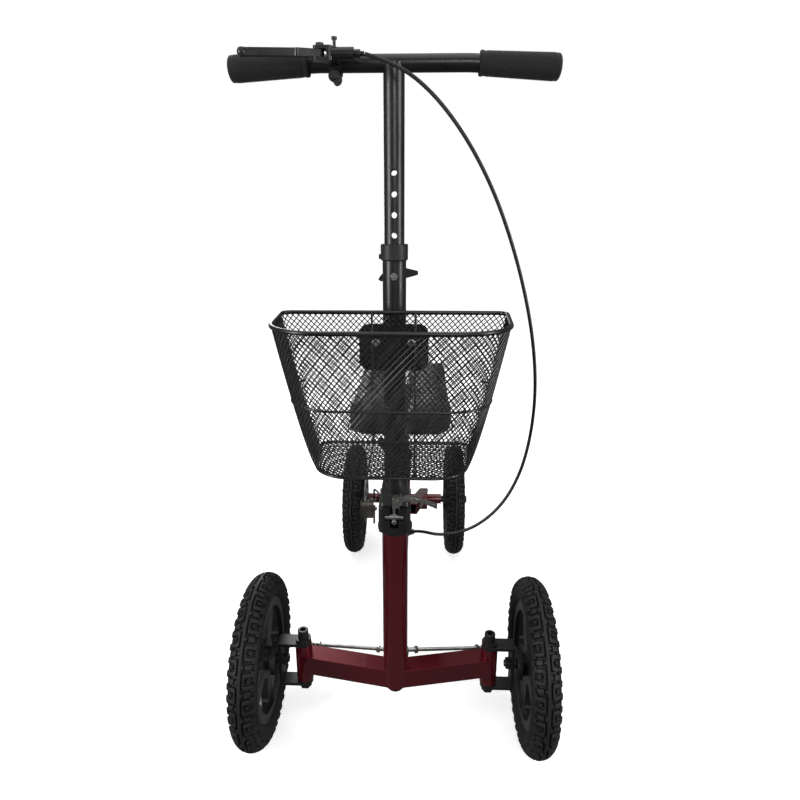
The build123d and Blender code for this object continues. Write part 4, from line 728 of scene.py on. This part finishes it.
def build_grips():
    """Moulded grips: a collar at the inner end, fine ribs in panels, a domed closed end."""
    for side, name in ((1, "grip_left"), (-1, "grip_right")):
        low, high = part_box(name)
        inner_x = low.x if side > 0 else high.x
        outer_x = high.x if side > 0 else low.x
        length = abs(outer_x - inner_x)
        radius_out = (high.y - low.y) / 2
        radius_in = radius_out - 2.0 * MM
        top_in = high.z - radius_in
        centre_out = low.z + radius_out
        start = Vector((inner_x, (low.y + high.y) / 2, top_in))
        end = Vector((outer_x, (low.y + high.y) / 2, centre_out))
        direction = (end - start).normalized()
        side_way = direction.cross(Vector((0, 0, 1))).normalized()
        up = side_way.cross(direction)
        rows, sides = 150, 72
        vertices = []
        for row in range(rows + 1):
            share = row / rows
            along = share * length
            radius = radius_in + (radius_out - radius_in) * share
            radius -= COLLAR_RISE
            dome = max(0, along - (length - GRIP_DOME)) / GRIP_DOME
            collar = exp(-(((along - 2.6 * MM) / (2.4 * MM)) ** 4))
            textured = step_up(along - 9 * MM, 1 * MM) * step_up(length - 10 * MM - along, 1 * MM)
            for k in range(sides):
                turn = 2 * pi * k / sides
                rib = 0.5 + 0.5 * cos(2 * pi * along / RIB_PITCH)
                panel = 0.35 + 0.65 * step_up(abs(sin(turn)) - 0.34, 0.08)
                reach = radius + RIB_HEIGHT * rib * textured * panel + COLLAR_RISE * collar
                reach *= sqrt(max(0.0, 1 - min(dome, 1) ** 2.6)) * 0.97 + 0.03 * (1 - min(dome, 1))
                ring = side_way * (reach * cos(turn)) + up * (reach * sin(turn))
                vertices.append(start + direction * along + ring)
        faces = grid_faces(rows + 1, sides, close_columns=True)
        grip = new_object("moulded_" + name, vertices, faces)
        finish_piece(grip, "stem", MATERIALS["grip_rubber"])
        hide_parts(name)


# ---------------------------------------------------------------- knee cushions
CUSHION_INSET = 4.5 * MM
CUSHION_DROP = 20 * MM
CUSHION_ROUNDING = 11 * MM
CLOTH_VOXEL = 5 * MM
CLOTH_FRAMES = 20
CLOTH_TRAVEL = 9 * MM


def cushion_start(name):
    """Closed rounded block a little smaller than the CAD cushion, with its top sloping."""
    low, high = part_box(name)
    outward = 1 if (low.x + high.x) > 0 else -1
    inner_x, outer_x = (low.x, high.x) if outward > 0 else (high.x, low.x)
    inset = CUSHION_INSET
    mesh = bmesh.new()
    bmesh.ops.create_cube(mesh, size=1)
    for vertex in mesh.verts:
        is_outer = vertex.co.x * outward > 0
        top = high.z if is_outer else high.z - CUSHION_DROP
        x = outer_x - outward * inset if is_outer else inner_x + outward * inset
        y = low.y + inset if vertex.co.y < 0 else high.y - inset
        z = top - inset if vertex.co.z > 0 else low.z + 1.2 * MM
        vertex.co = Vector((x, y, z))
    edges = list(mesh.edges)
    bmesh.ops.bevel(mesh, geom=edges, offset=CUSHION_ROUNDING, segments=4, affect="EDGES", profile=0.5)
    result = bpy.data.meshes.new(name + "_start")
    mesh.to_mesh(result)
    mesh.free()
    obj = bpy.data.objects.new(name + "_soft", result)
    bpy.context.scene.collection.objects.link(obj)
    return obj


def apply_modifiers(obj):
    """Replace an object's mesh by what its modifiers make of it."""
    graph = bpy.context.evaluated_depsgraph_get()
    mesh = bpy.data.meshes.new_from_object(obj.evaluated_get(graph))
    obj.modifiers.clear()
    obj.data = mesh


def inflate(obj, low, high, floor_z):
    """Cloth under pressure, its swelling capped and kept inside the box from low to high."""
    remesh = obj.modifiers.new("remesh", "REMESH")
    remesh.mode = "VOXEL"
    remesh.voxel_size = CLOTH_VOXEL
    apply_modifiers(obj)
    rest = [vertex.co.copy() for vertex in obj.data.vertices]
    cloth = obj.modifiers.new("cloth", "CLOTH")
    cloth.settings.use_pressure = True
    cloth.settings.uniform_pressure_force = 4
    cloth.settings.quality = 5
    cloth.settings.mass = 0.3
    cloth.settings.tension_stiffness = 12
    cloth.settings.compression_stiffness = 12
    cloth.settings.effector_weights.gravity = 0
    cloth.collision_settings.use_collision = False
    cloth.point_cache.frame_start = 1
    cloth.point_cache.frame_end = CLOTH_FRAMES
    for step in range(1, CLOTH_FRAMES + 1):
        bpy.context.scene.frame_set(step)
    apply_modifiers(obj)
    bpy.context.scene.frame_set(1)
    for vertex, start in zip(obj.data.vertices, rest):
        move = vertex.co - start
        if move.length > CLOTH_TRAVEL:
            vertex.co = start + move.normalized() * CLOTH_TRAVEL
        for axis in range(3):
            vertex.co[axis] = min(max(vertex.co[axis], low[axis] - 1 * MM), high[axis] + 4 * MM)
        vertex.co.z = max(vertex.co.z, floor_z)
    subdivide = obj.modifiers.new("subdivide", "SUBSURF")
    subdivide.levels = 1
    subdivide.render_levels = 1
    apply_modifiers(obj)
    obj.data.shade_smooth()


def cushion_piping(name, low, high):
    """Seam bead round the cushion, a little above its base plate."""
    edge, corner = 1.5 * MM, 15 * MM
    left, right, front, back = low.x + edge, high.x - edge, low.y + edge, high.y - edge
    corners = ((left, back, corner), (left, front, corner), (right, front, corner), (right, back, corner))
    points = [Vector((*point, low.z + 7 * MM)) for point in rounded_outline(corners, 200)]
    return tube("piping_" + name, points, 1.4 * MM, 8, closed=True)


def build_cushions():
    for name in ("pad_cushion_left", "pad_cushion_right"):
        low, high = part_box(name)
        cushion = cushion_start(name)
        inflate(cushion, low, high, low.z + 0.2 * MM)
        finish_piece(cushion, "knee_rest", MATERIALS["pad_vinyl"])
        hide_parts(name)
        piping = cushion_piping(name, low, high)
        finish_piece(piping, "knee_rest", MATERIALS["pad_vinyl"])


# ---------------------------------------------------------------- brake cable
CABLE_RADIUS = 2.5 * MM
# The route in millimetres with the front axle at y = 0, as the cable is laid
CABLE_ROUTE = [
    (-34, -77.5, 1122.5), (4, -81, 1112), (50, -84, 1079), (94, -82, 1027), (131, -77, 965),
    (160, -72, 897), (183, -67, 827), (200, -61, 756), (209, -55, 683), (207, -50, 611),
    (195, -46, 545), (168, -43, 487), (125, -38, 445), (76, -29, 427), (38, -6, 424),
    (14, 28, 398), (-12, 60, 358), (-25, 104, 318), (-26, 164, 294), (-25, 228, 286),
    (-26, 296, 282), (-33, 356, 278), (-45, 416, 262), (-54, 474, 243), (-65, 524, 236),
    (-78, 561, 227), (-81.5, 582, 215.5), (-82, 592.4, 199.6), (-82, 594, 181.8),
]
# Where the cable passes from one body's care to the next: (bodies, first and last height)
CABLE_SPANS = (
    (("stem", "column"), 1.060, 0.720),
    (("column", "steerer"), 0.680, 0.470),
    (("steerer", "frame"), 0.428, 0.330),
)
# Heights at which the cable is cut into lengths
CABLE_CUTS = (0.700, 0.430, 0.320)


def cable_line():
    """Points read from a smooth curve through the route's neighbourhood."""
    curve = bpy.data.curves.new("cable_route", "CURVE")
    curve.dimensions = "3D"
    curve.resolution_u = 12
    spline = curve.splines.new("NURBS")
    spline.points.add(len(CABLE_ROUTE) - 1)
    for point, (x, y, z) in zip(spline.points, CABLE_ROUTE):
        point.co = (x * MM, y * MM + FRONT_AXLE_Y, z * MM, 1)
    spline.order_u = 3
    spline.use_endpoint_u = True
    obj = bpy.data.objects.new("cable_route", curve)
    bpy.context.scene.collection.objects.link(obj)
    mesh = bpy.data.meshes.new_from_object(obj)
    points = [vertex.co.copy() for vertex in mesh.vertices]
    bpy.data.objects.remove(obj)
    bpy.data.meshes.remove(mesh)
    return points


def build_cable():
    """Black cable housing, cut into lengths at the heights where a joint crosses it; only the last length
    goes with the frame.
    """
    points = cable_line()
    cuts = [0]
    for level in CABLE_CUTS:
        cuts.append(next(i for i, point in enumerate(points) if i > cuts[-1] and point.z < level))
    cuts.append(len(points) - 1)
    for number, (first, last) in enumerate(zip(cuts, cuts[1:])):
        stretch = points[first:last + 1]
        piece = tube("cable_" + str(number), stretch, CABLE_RADIUS, 14)
        piece.data.materials.append(MATERIALS["cable_black"])
        if number < len(CABLE_SPANS):
            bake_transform(piece)
        else:
            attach(piece, "frame")
        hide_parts("brake_cable")


# ---------------------------------------------------------------- stage
def build_world():
    """White to the camera and dim to everything else, so that dark finishes stay dark."""
    world = bpy.data.worlds.new("studio")
    world.use_nodes = True
    tree = world.node_tree
    background = tree.nodes["Background"]
    background.inputs["Color"].default_value = (1, 1, 1, 1)
    strength = tree.nodes.new("ShaderNodeMapRange")
    strength.inputs["To Min"].default_value = 0.12
    strength.inputs["To Max"].default_value = 1.0
    rays = tree.nodes.new("ShaderNodeLightPath")
    tree.links.new(rays.outputs["Is Camera Ray"], strength.inputs["Value"])
    tree.links.new(strength.outputs["Result"], background.inputs["Strength"])
    bpy.context.scene.world = world


def build_lights():
    """An even soft light from above and tall softboxes that draw streaks down the tubes."""
    above = bpy.data.lights.new("overhead", "SUN")
    above.energy = 1.5
    above.angle = radians(80)
    overhead = bpy.data.objects.new("overhead", above)
    overhead.location = (0, 0, 3)
    bpy.context.scene.collection.objects.link(overhead)
    for place, power, width, height in (
        ((-1.9, -1.5, 1.0), 34, 0.35, 1.9),
        ((2.0, -1.2, 1.0), 26, 0.35, 1.9),
        ((0.5, -3.2, 1.6), 14, 0.7, 0.7),
        ((-0.9, 2.3, 1.4), 20, 0.8, 1.4),
    ):
        light = bpy.data.lights.new("softbox", "AREA")
        light.shape = "RECTANGLE"
        light.energy = power
        light.size = width
        light.size_y = height
        obj = bpy.data.objects.new("softbox", light)
        obj.location = place
        away = Vector((0, 0, 0.6)) - Vector(place)
        obj.rotation_euler = away.to_track_quat("-Z", "Y").to_euler()
        bpy.context.scene.collection.objects.link(obj)


def build_stage():
    """White floor and backdrop, soft studio light and the camera."""
    bpy.ops.mesh.primitive_plane_add(size=30)
    floor = bpy.context.object
    floor.name = "floor"
    recipe = Recipe("floor_white").set(Specular_IOR_Level=0.2)
    recipe.set(Emission_Color=(1, 1, 1, 1), Emission_Strength=0.55)
    recipe.colour(recipe.noise(0.8), (0.3, (0.93, 0.93, 0.93)), (0.7, (0.95, 0.95, 0.95)))
    recipe.roughness(recipe.noise(3), 0.75, 0.85)
    floor.data.materials.append(recipe.material)
    floor.visible_glossy = False
    floor.visible_diffuse = False
    build_world()
    build_lights()
    camera = bpy.data.cameras.new("camera")
    camera.sensor_width = 36
    camera.lens = 27.2
    obj = bpy.data.objects.new("camera", camera)
    obj.location = (0.0348, -1.20885, 0.934)
    obj.rotation_euler = Euler((radians(72.86), 0, radians(1.74)))
    bpy.context.scene.collection.objects.link(obj)
    bpy.context.scene.camera = obj
    bpy.context.scene.view_settings.view_transform = "Standard"


paint_frame_nodes()
build_tyres()
build_basket()
build_grips()
build_cushions()
build_cable()
build_stage()
